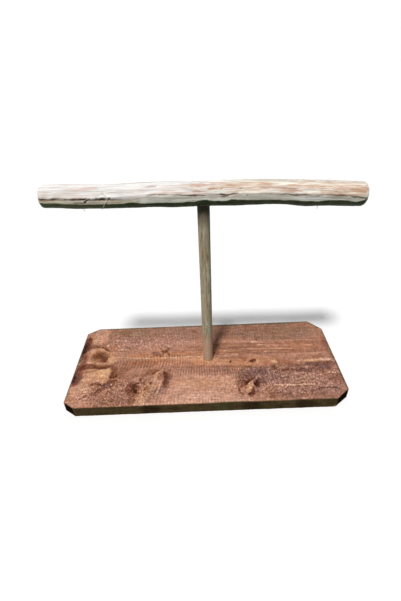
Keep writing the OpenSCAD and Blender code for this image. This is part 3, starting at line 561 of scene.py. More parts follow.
def uneven(across, along, *layers, level=0):
    """A level with layers of unevenness. Each has its height, its pitch across and along, and its seed."""
    for height, pitch_x, pitch_y, seed in layers:
        level = level + height * wander(across / pitch_x, along / pitch_y, seed)
    return level


def pitted(across, along, *layers):
    """How deep a surface is worn, by layers like those but never less than 0."""
    depth = 0
    for half_depth, pitch_x, pitch_y, seed in layers:
        depth = depth + half_depth * (1 + wander(across / pitch_x, along / pitch_y, seed))
    return depth


def oval(across, along, centre, size, soft=0.55):
    """1 inside an oval and 0 outside it."""
    half_long, half_wide, *turn = size
    turn = math.radians(turn[0]) if turn else 0
    step_x = across - centre[0]
    step_y = along - centre[1]
    cosine = math.cos(turn)
    sine = math.sin(turn)
    length = (step_x * cosine + step_y * sine) / half_long
    width = (step_y * cosine - step_x * sine) / half_wide
    return ease((1 + soft / 2 - np.hypot(length, width)) / soft)


def patches(across, along, level, *ovals, soft=0.9):
    """A level raised by oval patches. Each has its height, its centre and its size."""
    for height, centre, size in ovals:
        level = level + height * oval(across, along, centre, size, soft)
    return level


def stroke(across, along, points, half_width, soft=0.9):
    """1 along a bent line and 0 away from it, thinner towards its two ends."""
    nearest = np.full(across.shape, 1e9)
    total = sum(math.dist(a, b) for a, b in zip(points, points[1:]))
    gone = 0.0
    for start, end in zip(points, points[1:]):
        run = math.dist(start, end)
        step_x = (end[0] - start[0]) / run
        step_y = (end[1] - start[1]) / run
        travel = np.clip((across - start[0]) * step_x + (along - start[1]) * step_y, 0, run)
        gap = np.hypot(across - start[0] - travel * step_x, along - start[1] - travel * step_y)
        place = (gone + travel) / total
        narrow = np.minimum(1, 0.35 + 4 * np.minimum(place, 1 - place))
        nearest = np.minimum(nearest, gap / narrow)
        gone += run
    return ease((1 + soft / 2 - nearest / half_width) / soft)


LONG_LINE = 14
LINE_HOLD = 0.3


def mark_share(points, size, across, along, sway):
    """How much of a mark lies on each point. Short marks follow the sway, and long lines hold straighter."""
    if len(points) == 1:
        return oval(across + sway[0], along + sway[1], points[0], size)
    hold = LINE_HOLD if math.dist(points[0], points[-1]) > LONG_LINE else 1.0
    return stroke(across + hold * sway[0], along + hold * sway[1], points, size)


def raised(height, marks, across, along, sway):
    """A surface's height with the marks that stand up or lie lower."""
    for _, _, rise, size, *points in marks:
        if rise:
            height = height + rise * mark_share(points, size, across, along, sway)
    return height


def painted(under, marks, colours, across, along, sway, patchy=1.0):
    """Some colours with the marks laid over them, one after another."""
    for tone, strength, _, size, *points in marks:
        share = mark_share(points, size, across, along, sway) * strength * patchy
        under = lay(under, share, colours[tone])
    return under


def spotted(under, across, along, soft, *spots):
    """Some colours with stained ovals laid over them."""
    for tone, strength, size, centre in spots:
        under = lay(under, strength * oval(across, along, centre, size, soft), STAINS[tone])
    return under


def new_piece(name, points, faces):
    """A mesh piece from points in millimetres."""
    mesh = bpy.data.meshes.new(name)
    mesh.from_pydata((np.asarray(points, float) * MM).tolist(), [], faces)
    piece = bpy.data.objects.new(name, mesh)
    scene.collection.objects.link(piece)
    return piece


def points_of(piece):
    """The points of a piece in millimetres, one row each."""
    flat = np.empty(len(piece.data.vertices) * 3)
    piece.data.vertices.foreach_get("co", flat)
    return flat.reshape(-1, 3) / MM


def keep_on(piece, name, kind, values):
    """Keeps one value for each point of a piece, for its material to read."""
    words = {"FLOAT": "value", "FLOAT_VECTOR": "vector", "FLOAT_COLOR": "color"}
    store = piece.data.attributes.new(name, kind, "POINT")
    store.data.foreach_set(words[kind], np.ascontiguousarray(values, np.float32).ravel())


def keep_grain(piece, *places):
    """Keeps where each point lies in the wood, by x, y and z."""
    keep_on(piece, "grain", "FLOAT_VECTOR", np.column_stack(places))


def keep_stain(piece, colours, brightest):
    """Keeps a colour for each point, neither quite black nor quite white."""
    held = np.clip(colours, 0.004, brightest)
    keep_on(piece, "stain", "FLOAT_COLOR", np.column_stack((held, np.ones(len(held)))))


def finished_mesh(piece):
    """The piece's modifiers worked into its mesh and taken off."""
    made = bpy.data.meshes.new_from_object(piece.evaluated_get(bpy.context.evaluated_depsgraph_get()))
    piece.modifiers.clear()
    old = piece.data
    piece.data = made
    bpy.data.meshes.remove(old)
    made.name = piece.name


def hoop(first, second):
    """The faces between two closed rings of points."""
    corners = (first, second, np.roll(second, -1), np.roll(first, -1))
    return zip(*(corner.tolist() for corner in corners))


def turned(name, profile, centre, sides):
    """A closed round form from (radius, height) pairs, turned about an upright axis."""
    points = []
    faces = []
    for radius, height in profile:
        for side in range(sides):
            angle = 2 * math.pi * side / sides
            x = centre[0] + radius * math.cos(angle)
            y = centre[1] + radius * math.sin(angle)
            points.append((x, y, height))
    for ring in range(len(profile) - 1):
        for side in range(sides):
            beside = (side + 1) % sides
            low, high = ring * sides, (ring + 1) * sides
            faces.append((low + side, low + beside, high + beside, high + side))
    faces.append(tuple(range(sides))[::-1])
    faces.append(tuple(range((len(profile) - 1) * sides, len(profile) * sides)))
    return new_piece(name, points, faces)


def cut_away(piece, cutter):
    """Takes the cutter's form out of the piece and throws the cutter away."""
    hole = piece.modifiers.new("cut", "BOOLEAN")
    hole.operation = "DIFFERENCE"
    hole.solver = "EXACT"
    hole.object = cutter
    finished_mesh(piece)
    bpy.data.objects.remove(cutter)


def soften(piece, angle):
    """Smooth shading, with an edge wherever two faces meet at more than the angle."""
    piece.data.shade_smooth()
    piece.data.set_sharp_from_angle(angle=math.radians(angle))


def cut_back(along, front, back):
    """How far one end of the board lies in from its square end, by its front and its back corner cut."""
    in_front = np.clip((front[1] - HALF_WIDTH - along) / front[1], 0, 1)
    at_back = np.clip((along - (HALF_WIDTH - back[1])) / back[1], 0, 1)
    return front[0] * in_front + back[0] * at_back


def left_edge(along):
    """The board's left outline."""
    return cut_back(along, FRONT_LEFT_CUT, BACK_LEFT_CUT) - HALF_LENGTH


def right_edge(along):
    """The board's right outline."""
    return HALF_LENGTH - cut_back(along, FRONT_RIGHT_CUT, BACK_RIGHT_CUT)


RIB_PLACES = np.linspace(-180, 180, 721)
RIB_COUNTS = np.cumsum(0.5 / np.interp(RIB_PLACES, *np.array(RIB_PITCHES).T))


def board_sway(across, along):
    """How far the marks wander from their places, across and along."""
    return (
        uneven(across, along, (1.7, 7, 7, 1), (0.9, 2.4, 2.4, 2)),
        uneven(across, along, (1.2, 8, 6, 3), (0.8, 2.6, 2.4, 4)),
    )


def board_relief(across, along):
    """The saw ribs' wave, the dashes between them, and how far the board's top stands up at each point."""
    sway = board_sway(across, along)
    height = uneven(across, along, (0.12, 30, 22, 5), (0.05, 9, 3, 6))
    height = raised(height, BOARD_MARKS, across, along, sway)
    lean = across * (0.003 * np.maximum(along, 0) - 0.002 * np.minimum(along, 0))
    wobble = uneven(across, along, (0.8, 26, 30, 7), (0.4, 5, 9, 8))
    wave = np.sin(2 * np.pi * np.interp(across - lean + wobble, RIB_PLACES, RIB_COUNTS))
    broken = uneven(across, along, (0.45, 3.4, 4.5, 9), level=0.55)
    strong = patches(across, along, 0.12, (0.9, (-62, 0), (54, 11)), (0.75, (4, -20), (52, 9)))
    strong = patches(
        across, along, strong,
        (0.3, (-70, 42), (66, 20)), (0.25, (70, 50), (56, 16)), (0.1, (-25, -55), (60, 12)),
        soft=1.0,
    )
    strong = strong + 0.45 * ease((-61 - along) / 5)
    for knot, size in (((-137, 10), (20, 16, -30)), ((-135, -20), (20, 12, 10))):
        strong = strong * (1 - 0.7 * oval(across, along, knot, size, 0.5))
    wave = wave * broken * np.clip(strong, 0, 1.2)
    dashes = uneven(across, along, (1, 1.5, 1.9, 10), (0.5, 3.2, 2.4, 11))
    return wave, dashes, height + 0.1 * wave + 0.05 * dashes


# The board's mesh: a fine grid on top, rings down the sides, and an underside that has every other row and
# column, so it needs an odd number of rows.
rows = np.unique(np.round(np.concatenate([
    np.linspace(low, high, count) for low, high, count in zip(ROW_STOPS, ROW_STOPS[1:], ROW_COUNTS)
]), 4))
rows = np.unique(np.append(rows, (rows[20] + rows[21]) / 2))
columns = np.linspace(0, 1, BOARD_COLUMNS + 1)
lefts = left_edge(rows)[:, None]
grid_x = lefts + columns[None, :] * (right_edge(rows)[:, None] - lefts)
grid_y = np.repeat(rows[:, None], BOARD_COLUMNS + 1, 1)
number = np.arange(grid_x.size).reshape(grid_x.shape)
rim = np.concatenate((number[0, :], number[1:, -1], number[-1, -2::-1], number[-2:0:-1, 0]))
rim_points = np.stack((grid_x.ravel()[rim], grid_y.ravel()[rim]), 1)
along_rim = np.roll(rim_points, -1, 0) - np.roll(rim_points, 1, 0)
outward = np.stack((along_rim[:, 1], -along_rim[:, 0]), 1)
outward = outward / np.linalg.norm(outward, axis=1)[:, None]
rim_run = np.cumsum(np.linalg.norm(np.roll(rim_points, -1, 0) - rim_points, axis=1))

relief = board_relief(grid_x, grid_y)[2]
top_x = grid_x.ravel().copy()
top_y = grid_y.ravel().copy()
arris = ARRIS * uneven(rim_run, rim_run * 0, (0.55, 4, 1, 20), (0.4, 1.3, 1, 21), level=1)
top_x[rim] -= outward[:, 0] * arris
top_y[rim] -= outward[:, 1] * arris
top_z = BOARD_TOP - TOP_SINK + relief.ravel()
top_z[rim] -= ARRIS_DROP
board_points = [np.stack((top_x, top_y, top_z), 1)]
for inset, height in SIDE_RINGS:
    level = np.full(len(rim), float(height))
    rough = pitted(rim_run, level, (0.11, 1.4, 3, 22), (0.12, 9, 1.6, 23))
    place = rim_points - outward * (inset + rough)[:, None]
    board_points.append(np.column_stack((place, level)))
board_faces = []
for low, high in zip(number, number[1:]):
    board_faces.extend(zip(low[:-1].tolist(), low[1:].tolist(), high[1:].tolist(), high[:-1].tolist()))
upper = rim
for ring in range(len(SIDE_RINGS)):
    lower = number.size + ring * len(rim) + np.arange(len(rim))
    board_faces.extend(hoop(upper, lower))
    upper = lower
under = np.full(number.shape, -1)
under.ravel()[rim] = upper
spot_row, spot_column = np.meshgrid(
    np.arange(2, len(rows) - 1, 2), np.arange(2, BOARD_COLUMNS, 2), indexing="ij",
)
first_under = number.size + len(SIDE_RINGS) * len(rim)
under[spot_row, spot_column] = first_under + np.arange(spot_row.size).reshape(spot_row.shape)
under_x = grid_x[spot_row, spot_column].ravel()
under_y = grid_y[spot_row, spot_column].ravel()
under_z = pitted(under_x, under_y, (0.1, 24, 16, 24), (0.06, 1.9, 8, 25))
board_points.append(np.stack((under_x, under_y, under_z), 1))

# Each face of the underside takes all the points round it that exist, so that it meets the fine rim.
round_cell = ((1, 0), (2, 0), (2, 1), (2, 2), (1, 2), (0, 2), (0, 1), (0, 0))
for row in range(0, len(rows) - 1, 2):
    for column in range(0, BOARD_COLUMNS, 2):
        corners = [int(under[row + down, column + right]) for down, right in round_cell]
        board_faces.append(tuple(corner for corner in corners if corner >= 0))
board = new_piece("rough_sawn_board", np.concatenate(board_points), board_faces)
cut_away(board, turned("socket_cutter", ((SOCKET_RADIUS, SOCKET_FLOOR), (SOCKET_RADIUS, 20)), FOOT, 64))
cut_away(board, turned("screw_hole_cutter", SCREW_HOLE, FOOT, 48))
soften(board, 42)

# The stain on top: the marks, then a faint mottle and two faint tints.
spots = points_of(board)
side_x, side_y, side_z = spots.T
sway = board_sway(side_x, side_y)
stain = np.tile(linear(STAINS["rose"]), (len(spots), 1))
patchy = np.clip(uneven(side_x, side_y, (0.32, 2.4, 2, 12), level=0.84), 0, 1)
stain = painted(stain, BOARD_MARKS, STAINS, side_x, side_y, sway, patchy)
mottle = uneven(side_x, side_y, (0.09, 16, 7, 13), (0.09, 5, 3, 14))
stain = stain * (1 + mottle[:, None])
for pitch_x, pitch_y, seed, tint in ((11, 7, 64, (0.03, 0, -0.05)), (3.4, 2.4, 65, (0.03, -0.02, -0.04))):
    stain = stain * (1 + wander(side_x / pitch_x, side_y / pitch_y, seed)[:, None] * np.array(tint))

# The sides: weathered dark, with painted shade that makes the corner cuts near black, the front ones more,
# and one torn corner low on the right.
run = np.where(np.abs(side_y) > 55, side_x, side_y)
edge_tone = uneven(run, side_z, (0.7, 22, 3, 15), (0.9, 7, 1.7, 66))
edge_stain = np.tile(linear(STAINS["weathered"]), (len(spots), 1))
edge_stain = lay(edge_stain, 0.5 * np.clip(edge_tone, 0, 1), STAINS["sooty"])
edge_stain = lay(edge_stain, 0.4 * np.clip(-edge_tone, 0, 1), STAINS["earth"])
edge_stain = spotted(
    edge_stain, side_x, side_z * 3, 1.0,
    ("tar", 0.6, (11, 26), (-64, 20)), ("tar", 0.6, (11, 26), (52, 20)), ("tar", 0.6, (11, 26), (112, 20)),
    ("green", 0.35, (9, 30), (20, 18)),
)
end_face = ease(np.abs(side_x) - 163.5)
edge_stain = lay(edge_stain, end_face * 0.85, STAINS["end grain"])
# Painted shade: the corner cuts are laid near black, more strongly in front than behind.
corner = (np.abs(side_y) > 52) & (np.abs(side_y) < 69) & (np.abs(side_x) > 148) & (np.abs(side_x) < 164)
corner = np.where(side_y < 0, 0.92, 0.5) * corner
edge_stain = lay(edge_stain, corner, STAINS["black"])
torn = oval(side_x, side_y, (150, -68), (5, 3, 40), 0.8) * ease((2.2 - side_z) / 1.5)
edge_stain = lay(edge_stain, torn, STAINS["torn wood"])
from_end = np.minimum(side_x - left_edge(side_y), right_edge(side_y) - side_x)
from_edge = np.minimum(from_end, HALF_WIDTH - np.abs(side_y))
reach = 1.15 + 0.6 * ease((side_x + 20) / 80) * (side_y < 0)
on_edge = ease((14.1 - side_z) / 0.4) * ease((reach - from_edge) / 0.4)
stain = cover(stain, on_edge, edge_stain)

# The underside: thinly stained, with the same knots fainter and brown runs along its edges.
under_stain = np.tile(linear(STAINS["thin stain"]), (len(spots), 1))
under_stain = spotted(
    under_stain, side_x + sway[0], side_y + sway[1], 0.9,
    ("brown", 0.7, (12, 8, -30), (-138, 10)), ("brown", 0.6, (9, 7, 30), (-60, -30)),
    ("umber", 0.5, (8, 6, 40), (55, -44)), ("tan", 0.5, (70, 8, 3), (90, 20)),
    ("orange", 0.4, (90, 10, -2), (-40, 40)), ("pink", 0.3, (110, 7, 1), (20, -10)),
)
drip = ease((np.abs(side_y) - 62 + 4 * wander(side_x / 8, side_y / 8, 16)) / 5)
drip = np.maximum(drip, ease((np.abs(side_x) - 156 + 4 * wander(side_x / 8, side_y / 8, 17)) / 5))
under_stain = lay(under_stain, 0.75 * drip, STAINS["brown"])
beneath = ease((0.45 - side_z) / 0.3)
stain = cover(stain, beneath, under_stain)

# Where the wood is fuzzy, where its growth rings show as lines and where short streaks lie at a slant, and
# how the grain bends round the knots. A knot has its place and its reach.
wave, dashes, _ = board_relief(side_x, side_y)
# Painted shade: the ribs value lightens the colour on the saw ribs' crests and darkens it in their grooves,
# over the real relief. On the sides it is a faint random tone.
ribs = wave * (1 - on_edge) + on_edge * 0.25 * wander(run / 5, side_z / 1.6, 67)
fuzz = patches(
    side_x, side_y, 0.2,
    (0.7, (105, -42), (74, 27)), (0.65, (-106, -48), (46, 24)),
    (0.8, (66, -28), (26, 15)), (0.35, (-95, 38), (50, 16)),
)
fuzz = np.clip(fuzz, 0, 1)
lines = patches(side_x, side_y, 0.35, (0.5, (70, 18), (110, 14)))
lines = np.clip(lines * (1 - 0.8 * on_edge), 0, 1)
slant = patches(
    side_x, side_y, 0.2,
    (0.75, (-112, -50), (44, 22)), (0.5, (-110, 40), (55, 18)), (0.2, (-146, -26), (16, 12)),
)
flow_y = side_y.copy()
for knot_x, knot_y, reach in (
    (-137, 12, 20), (-134, -20, 17), (-52, 18, 9), (-62, -30, 16), (52, -46, 15), (60, -5, 6), (33, -4, 3),
):
    gap = np.hypot((side_x - knot_x) / 1.6, side_y - knot_y)
    pull = 0.85 * np.exp(-((gap / reach) ** 2))
    flow_y = flow_y + (knot_y - flow_y) * pull
flow_y = flow_y + 1.4 * wander(side_x / 55, side_y / 30, 18)
on_top = 0.35 + 0.65 * ease((side_z - 6) / 3)
sawn_end = ease((left_edge(side_y) + 0.5 - side_x) / 0.4) + ease((side_x - right_edge(side_y) + 0.5) / 0.4)
keep_stain(board, stain, 0.92)
for name, values in (
    ("ribs", ribs),
    ("fuzz", fuzz * (side_z > 13) * ease((from_edge - 2.6) / 2)),
    ("speckle", fuzz * on_top * (1 - on_edge)),
    ("dashes", dashes * (0.35 + 0.75 * fuzz) * (1 - 0.6 * on_edge)),
    ("slant", np.clip(slant, 0, 1) * (side_x < 30) * on_top * (1 - on_edge)),
    ("sawn_end", np.clip(sawn_end, 0, 1)),
    ("lines", lines),
):
    keep_on(board, name, "FLOAT", values)
keep_grain(board, side_x, flow_y, side_z)


def blend(tree, share, under, over, how="MIX"):
    """One colour laid over another."""
    inputs = {0: share, 6: under, 7: over}
    return add(tree, "ShaderNodeMix", inputs, data_type="RGBA", blend_type=how).outputs[2]


def between(tree, value, low, high, new_low=0.0, new_high=1.0):
    """A number taken from one range into another, and held inside it."""
    inputs = {0: value, 1: low, 2: high, 3: new_low, 4: new_high}
    return result(tree, "ShaderNodeMapRange", inputs, interpolation_type="SMOOTHSTEP")


def swing(tree, value, low, high, new_low, new_high, share):
    """A factor that strays from 1 between two bounds, as far as the share lets it."""
    stray = times(tree, between(tree, value, low, high, new_low, new_high), share)
    return maths(tree, "ADD", 1.0, stray)


def weighed(tree, *parts):
    """Some numbers added up, each times its weight."""
    total, *others = [times(tree, value, weight) for value, weight in parts]
    for part in others:
        total = maths(tree, "ADD", total, part)
    return total


def noise(tree, place, stretch, detail=3.0, rough=0.55, warp=0.0):
    """Unevenness from 0 to 1. Stretch gives its changes in each unit of x, y and z."""
    spread = result(tree, "ShaderNodeMapping", {"Vector": place, "Scale": stretch})
    inputs = {"Vector": spread, "Scale": 1.0, "Detail": detail, "Roughness": rough, "Distortion": warp}
    return result(tree, "ShaderNodeTexNoise", inputs)


def hatching(tree, place, turn, long, wide):
    """Uneven short streaks from 0 to 1 that lie at an angle in the board's plane."""
    inputs = {"Vector": place, "Rotation": (0, 0, math.radians(turn)), "Scale": (long, wide, 2.0)}
    spread = result(tree, "ShaderNodeMapping", inputs, vector_type="TEXTURE")
    return noise(tree, spread, (1, 1, 1), 3.0, 0.6, 0.25)


def kept(tree, name, output="Fac"):
    """A value that was kept on the piece's points."""
    return add(tree, "ShaderNodeAttribute", attribute_name=name).outputs[output]


def shade(tree, colour, *factors):
    """A colour made lighter or darker by each of some numbers."""
    for factor in factors:
        grey = result(tree, "ShaderNodeCombineColor", {0: factor, 1: factor, 2: factor})
        colour = blend(tree, 1.0, colour, grey, "MULTIPLY")
    return colour


def brown_shade(tree, colour, *factors):
    """The same for stained wood: its darks turn browner and its lights turn paler."""
    for factor in factors:
        parts = {place: maths(tree, "POWER", factor, power) for place, power in enumerate((0.88, 1.0, 1.16))}
        colour = blend(tree, 1.0, colour, result(tree, "ShaderNodeCombineColor", parts), "MULTIPLY")
    return colour


def finish_wood(tree, colour, rough, height, depth, shine=0.12):
    """Dry wood of that colour, with a fine raised grain of a depth in millimetres."""
    bump = result(tree, "ShaderNodeBump", {"Height": height, "Strength": 1.0, "Distance": depth * MM})
    surface = result(tree, "ShaderNodeBsdfPrincipled", {
        "Base Color": colour, "Roughness": rough, "Normal": bump, "Specular IOR Level": shine,
    })
    add(tree, "ShaderNodeOutputMaterial", {0: surface})


stained = new_material("red_brown_stained_softwood")
tree = stained.node_tree
grain = kept(tree, "grain", "Vector")
grain_parts = add(tree, "ShaderNodeSeparateXYZ", {0: grain}).outputs
drift = times(tree, noise(tree, grain, (0.011, 0.02, 0.02), 2.0), 9.0)
from_pith_y = maths(tree, "ADD", maths(tree, "SUBTRACT", grain_parts[1], PITH[0]), drift)
from_pith_z = maths(tree, "SUBTRACT", grain_parts[2], PITH[1])
square_y = times(tree, from_pith_y, from_pith_y)
square_z = times(tree, from_pith_z, from_pith_z)
from_pith = maths(tree, "SQRT", maths(tree, "ADD", square_y, square_z))
ring_place = maths(tree, "DIVIDE", from_pith, RING_PITCH)
ring_place = maths(tree, "ADD", ring_place, noise(tree, grain, (0.02, 0.25, 0.25), 2.0))
ring_part = maths(tree, "FRACT", ring_place)
line_share = kept(tree, "lines")
late_wood = times(tree, between(tree, ring_part, 0.35, 0.9), between(tree, ring_part, 1.0, 0.93))
late_wood = times(tree, late_wood, line_share)
fibre = noise(tree, grain, (0.09, 1.6, 1.6), 4.0, 0.65)
fine_fibre = noise(tree, grain, (0.35, 5.5, 5.5), 3.0, 0.7)
speck = noise(tree, grain, (0.6, 0.75, 0.75), 3.0, 0.65, 0.6)
hatch = hatching(tree, grain, -62, 4.2, 1.2)
fleck = noise(tree, grain, (0.8, 0.32, 0.5), 2.0, 0.55, 0.2)
fuzz_share = kept(tree, "speckle")
bare = kept(tree, "stain", "Color")
tone = blend(tree, late_wood, bare, opaque(STAINS["brown"]))
tone = blend(tree, times(tree, late_wood, 0.7), bare, tone)
tone = brown_shade(
    tree, tone,
    between(tree, fibre, 0.28, 0.72, 0.75, 1.24),
    between(tree, fine_fibre, 0.25, 0.75, 0.75, 1.25),
    # The saw ribs' painted shade: lighter on the crests, darker in the grooves.
    between(tree, kept(tree, "ribs"), -1.0, 1.0, 0.66, 1.34),
    between(tree, kept(tree, "dashes"), -1.0, 1.0, 0.68, 1.32),
    swing(tree, speck, 0.34, 0.66, -0.62, 0.5, fuzz_share),
    swing(tree, hatch, 0.34, 0.66, -0.46, 0.36, kept(tree, "slant")),
    swing(tree, fleck, 0.36, 0.64, -0.32, 0.28, fuzz_share),
    swing(tree, ring_part, 0.45, 0.1, 0.0, 0.22, line_share),
    swing(tree, ring_part, 0.25, 0.9, 0.0, -0.5, kept(tree, "sawn_end")),
)
grain_height = weighed(tree, (fibre, 0.6), (fine_fibre, 0.4), (speck, 0.7))
finish_wood(tree, tone, between(tree, fibre, 0.2, 0.8, 0.62, 0.86), grain_height, 0.16, 0.0)
board.data.materials.clear()
board.data.materials.append(stained)
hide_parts("base_board")
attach(board, "root")


# The fuzz of the rough-sawn board: hundreds of short wood fibres that the saw pulled up and left lying along
# the ribs, and the pale splinters that the drill tore loose round the dowel's hole.
TORN_SIDES = 24
TORN_RADII = (6.5, 7.6)
TORN_HEIGHT = 13.85


def open_group(name, given, made):
    """An empty group of geometry nodes, and what it is given."""
    tree = bpy.data.node_groups.new(name, "GeometryNodeTree")
    for title, kind in given:
        tree.interface.new_socket(title, in_out="INPUT", socket_type="NodeSocket" + kind)
    tree.interface.new_socket(made, in_out="OUTPUT", socket_type="NodeSocketGeometry")
    return tree, add(tree, "NodeGroupInput").outputs


def thin_forms(tree, path, thickness, narrowing, sides):
    """Round forms along some paths, thinner towards their far ends."""
    position = add(tree, "GeometryNodeSplineParameter").outputs["Factor"]
    taper = maths(tree, "SUBTRACT", 1.0, times(tree, position, narrowing))
    thinned = result(tree, "GeometryNodeSetCurveRadius", {"Curve": path, "Radius": taper})
    section = result(tree, "GeometryNodeCurvePrimitiveCircle", {"Resolution": sides, "Radius": thickness})
    return result(tree, "GeometryNodeCurveToMesh", {
        "Curve": thinned, "Profile Curve": section, "Fill Caps": True,
    })


def close_group(tree, forms, finish):
    """Makes the group's forms real, gives them their material and hands them out."""
    real = result(tree, "GeometryNodeRealizeInstances", {0: forms})
    done = result(tree, "GeometryNodeSetMaterial", {"Geometry": real, "Material": finish})
    add(tree, "NodeGroupOutput", {0: done})
    return tree


def chance(tree, low, high, seed):
    """A random number between two bounds for each fibre."""
    inputs = {2: low, 3: high, "Seed": seed}
    return add(tree, "FunctionNodeRandomValue", inputs, data_type="FLOAT").outputs[1]


def fibre_tree():
    """Scatters thin bent fibres over a surface, more where its fuzz value is high."""
    tree, given = open_group("loose_fibres", (
        ("Surface", "Geometry"), ("Fibres in a square metre", "Float"), ("Length", "Float"),
        ("Thickness", "Float"), ("Rise", "Float"), ("Lie", "Vector"), ("Spread", "Float"),
        ("Seed", "Int"), ("Finish", "Material"),
    ), "Fibres")
    seed = given["Seed"]
    thick = result(tree, "GeometryNodeInputNamedAttribute", {"Name": "fuzz"}, data_type="FLOAT")
    roots = add(tree, "GeometryNodeDistributePointsOnFaces", {
        "Mesh": given["Surface"], "Seed": seed,
        "Density": times(tree, thick, given["Fibres in a square metre"]),
    }).outputs
    half_length = times(tree, given["Length"], 0.5)
    half_rise = times(tree, given["Rise"], 0.5)
    path = result(tree, "GeometryNodeCurveQuadraticBezier", {
        "Resolution": 5, "Start": (0, 0, 0),
        "Middle": result(tree, "ShaderNodeCombineXYZ", {0: half_length, 2: given["Rise"]}),
        "End": result(tree, "ShaderNodeCombineXYZ", {0: given["Length"], 2: half_rise}),
    })
    fibre_form = thin_forms(tree, path, given["Thickness"], 0.8, 4)
    sway = chance(tree, times(tree, given["Spread"], -1.0), given["Spread"], seed)
    turn = result(tree, "ShaderNodeCombineXYZ", {2: sway})
    lie = result(tree, "FunctionNodeAlignRotationToVector", {"Vector": given["Lie"]}, axis="X")
    upright = {"Rotation": lie, "Vector": roots["Normal"]}
    lie = result(tree, "FunctionNodeAlignRotationToVector", upright, axis="Z", pivot_axis="X")
    swung = {"Rotation": lie, "Rotate By": result(tree, "FunctionNodeEulerToRotation", {0: turn})}
    facing = result(tree, "FunctionNodeRotateRotation", swung, rotation_space="LOCAL")
    placed = result(tree, "GeometryNodeInstanceOnPoints", {
        "Points": roots["Points"], "Instance": fibre_form, "Rotation": facing,
        "Scale": chance(tree, 0.35, 1.25, seed),
    })
    return close_group(tree, placed, given["Finish"])


def grow_fibres(name, carrier, group, values):
    """A piece of loose fibres over a carrier mesh, made once and turned into a plain mesh."""
    piece = bpy.data.objects.new(name, carrier.copy())
    scene.collection.objects.link(piece)
    grower = piece.modifiers.new(group.name, "NODES")
    grower.node_group = group
    for item in group.interface.items_tree:
        if item.in_out == "INPUT" and item.name in values:
            grower[item.identifier] = values[item.name]
    finished_mesh(piece)
    piece.data.shade_smooth()
    return piece


def fibre_material(name, dark, pale, rough):
    """Dry fibre in two shades that take turns in patches."""
    material = new_material(name)
    tree = material.node_tree
    where = add(tree, "ShaderNodeTexCoord").outputs["Object"]
    patch = noise(tree, where, (300, 300, 300), 2.0)
    colour = blend(tree, between(tree, patch, 0.35, 0.65), opaque(dark), opaque(pale))
    finish_wood(tree, colour, rough, patch, 0.02)
    return material


fibres = fibre_tree()
pale_fibre = fibre_material("pale_torn_fibre", (196, 146, 116), (236, 200, 168), 0.8)
fuzz_piece = grow_fibres("board_fuzz", board.data, fibres, {
    "Fibres in a square metre": 26000.0, "Length": 2.2 * MM, "Thickness": 0.07 * MM, "Rise": 0.55 * MM,
    "Lie": (1.0, 0.0, 0.0), "Spread": 0.9, "Seed": 3, "Finish": pale_fibre,
})
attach(fuzz_piece, "root")

torn_points = []
for ring_radius in TORN_RADII:
    for side in range(TORN_SIDES):
        angle = 2 * math.pi * side / TORN_SIDES
        torn_x = FOOT[0] + ring_radius * math.cos(angle)
        torn_y = FOOT[1] + ring_radius * math.sin(angle)
        torn_points.append((torn_x, torn_y, TORN_HEIGHT))
inner_ring = np.arange(TORN_SIDES)
torn_ring = new_piece("torn_ring", torn_points, list(hoop(inner_ring, inner_ring + TORN_SIDES)))
keep_on(torn_ring, "fuzz", "FLOAT", np.ones(2 * TORN_SIDES))
splinters = grow_fibres("hole_splinters", torn_ring.data, fibres, {
    "Fibres in a square metre": 1400000.0, "Length": 2.0 * MM, "Thickness": 0.12 * MM, "Rise": 0.8 * MM,
    "Lie": (1.0, 0.0, 0.0), "Spread": 3.1, "Seed": 8, "Finish": pale_fibre,
})
bpy.data.objects.remove(torn_ring)
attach(splinters, "root")


# The post: a bare half-inch hardwood dowel, weathered grey-brown, with the ends just bevelled. It is glued
# into the board's socket and the branch's, and its lower end is drilled for the screw.
POST_RADIUS = 6.35
POST_SIDES = 96
POST_LOW = 7.0
POST_TOP = 231.2
POST_RINGS = 190
POST_BEVEL = 0.6
POST_FIRST_RING = 1.5
PILOT_RADIUS = 2.25

# The dowel's lengthwise wear: the pitch round it, the pitch up it, the depth and the seed. Then its dents:
# the angle, the height, half the height and half the width, and the depth.
POST_WEAR = ((0.9, 26, 0.05, 30), (2.6, 60, 0.06, 31), (0.55, 9, 0.03, 32))
POST_DENTS = (
    (-100, 62, 4, 2.4, 0.30), (-62, 118, 6, 1.8, 0.22), (-120, 158, 3, 2.0, 0.25), (40, 90, 5, 2.5, 0.3),
    (150, 60, 4, 2, 0.25), (100, 170, 8, 1.6, 0.3), (-75, 196, 4, 2.2, 0.22), (-95, 30, 3, 2.0, 0.2),
)

post_heights = np.linspace(POST_LOW + POST_FIRST_RING, POST_TOP - POST_FIRST_RING, POST_RINGS).tolist()
post_profile = [(0.9, 34.5), (PILOT_RADIUS, 33.0), (PILOT_RADIUS, POST_LOW)]
post_profile.append((POST_RADIUS - POST_BEVEL, POST_LOW))
for height in [POST_LOW + POST_BEVEL, *post_heights, POST_TOP - POST_BEVEL]:
    post_profile.append((POST_RADIUS, height))
post_profile += [(POST_RADIUS - POST_BEVEL, POST_TOP), (2.0, POST_TOP)]
post = turned("dowel_post", post_profile, FOOT, POST_SIDES)
spots = points_of(post)
step_x = spots[:, 0] - FOOT[0]
step_y = spots[:, 1] - FOOT[1]
radius = np.hypot(step_x, step_y)
angle = np.arctan2(step_y, step_x)
height = spots[:, 2]
worn = np.zeros(len(spots))
for pitch_around, pitch_up, depth, seed in POST_WEAR:
    count = max(8, round(2 * np.pi * POST_RADIUS / pitch_around))
    shift = (angle / (2 * np.pi) + 0.5) * count
    worn = worn + depth * (1 + wander(shift % count, height / pitch_up, seed))
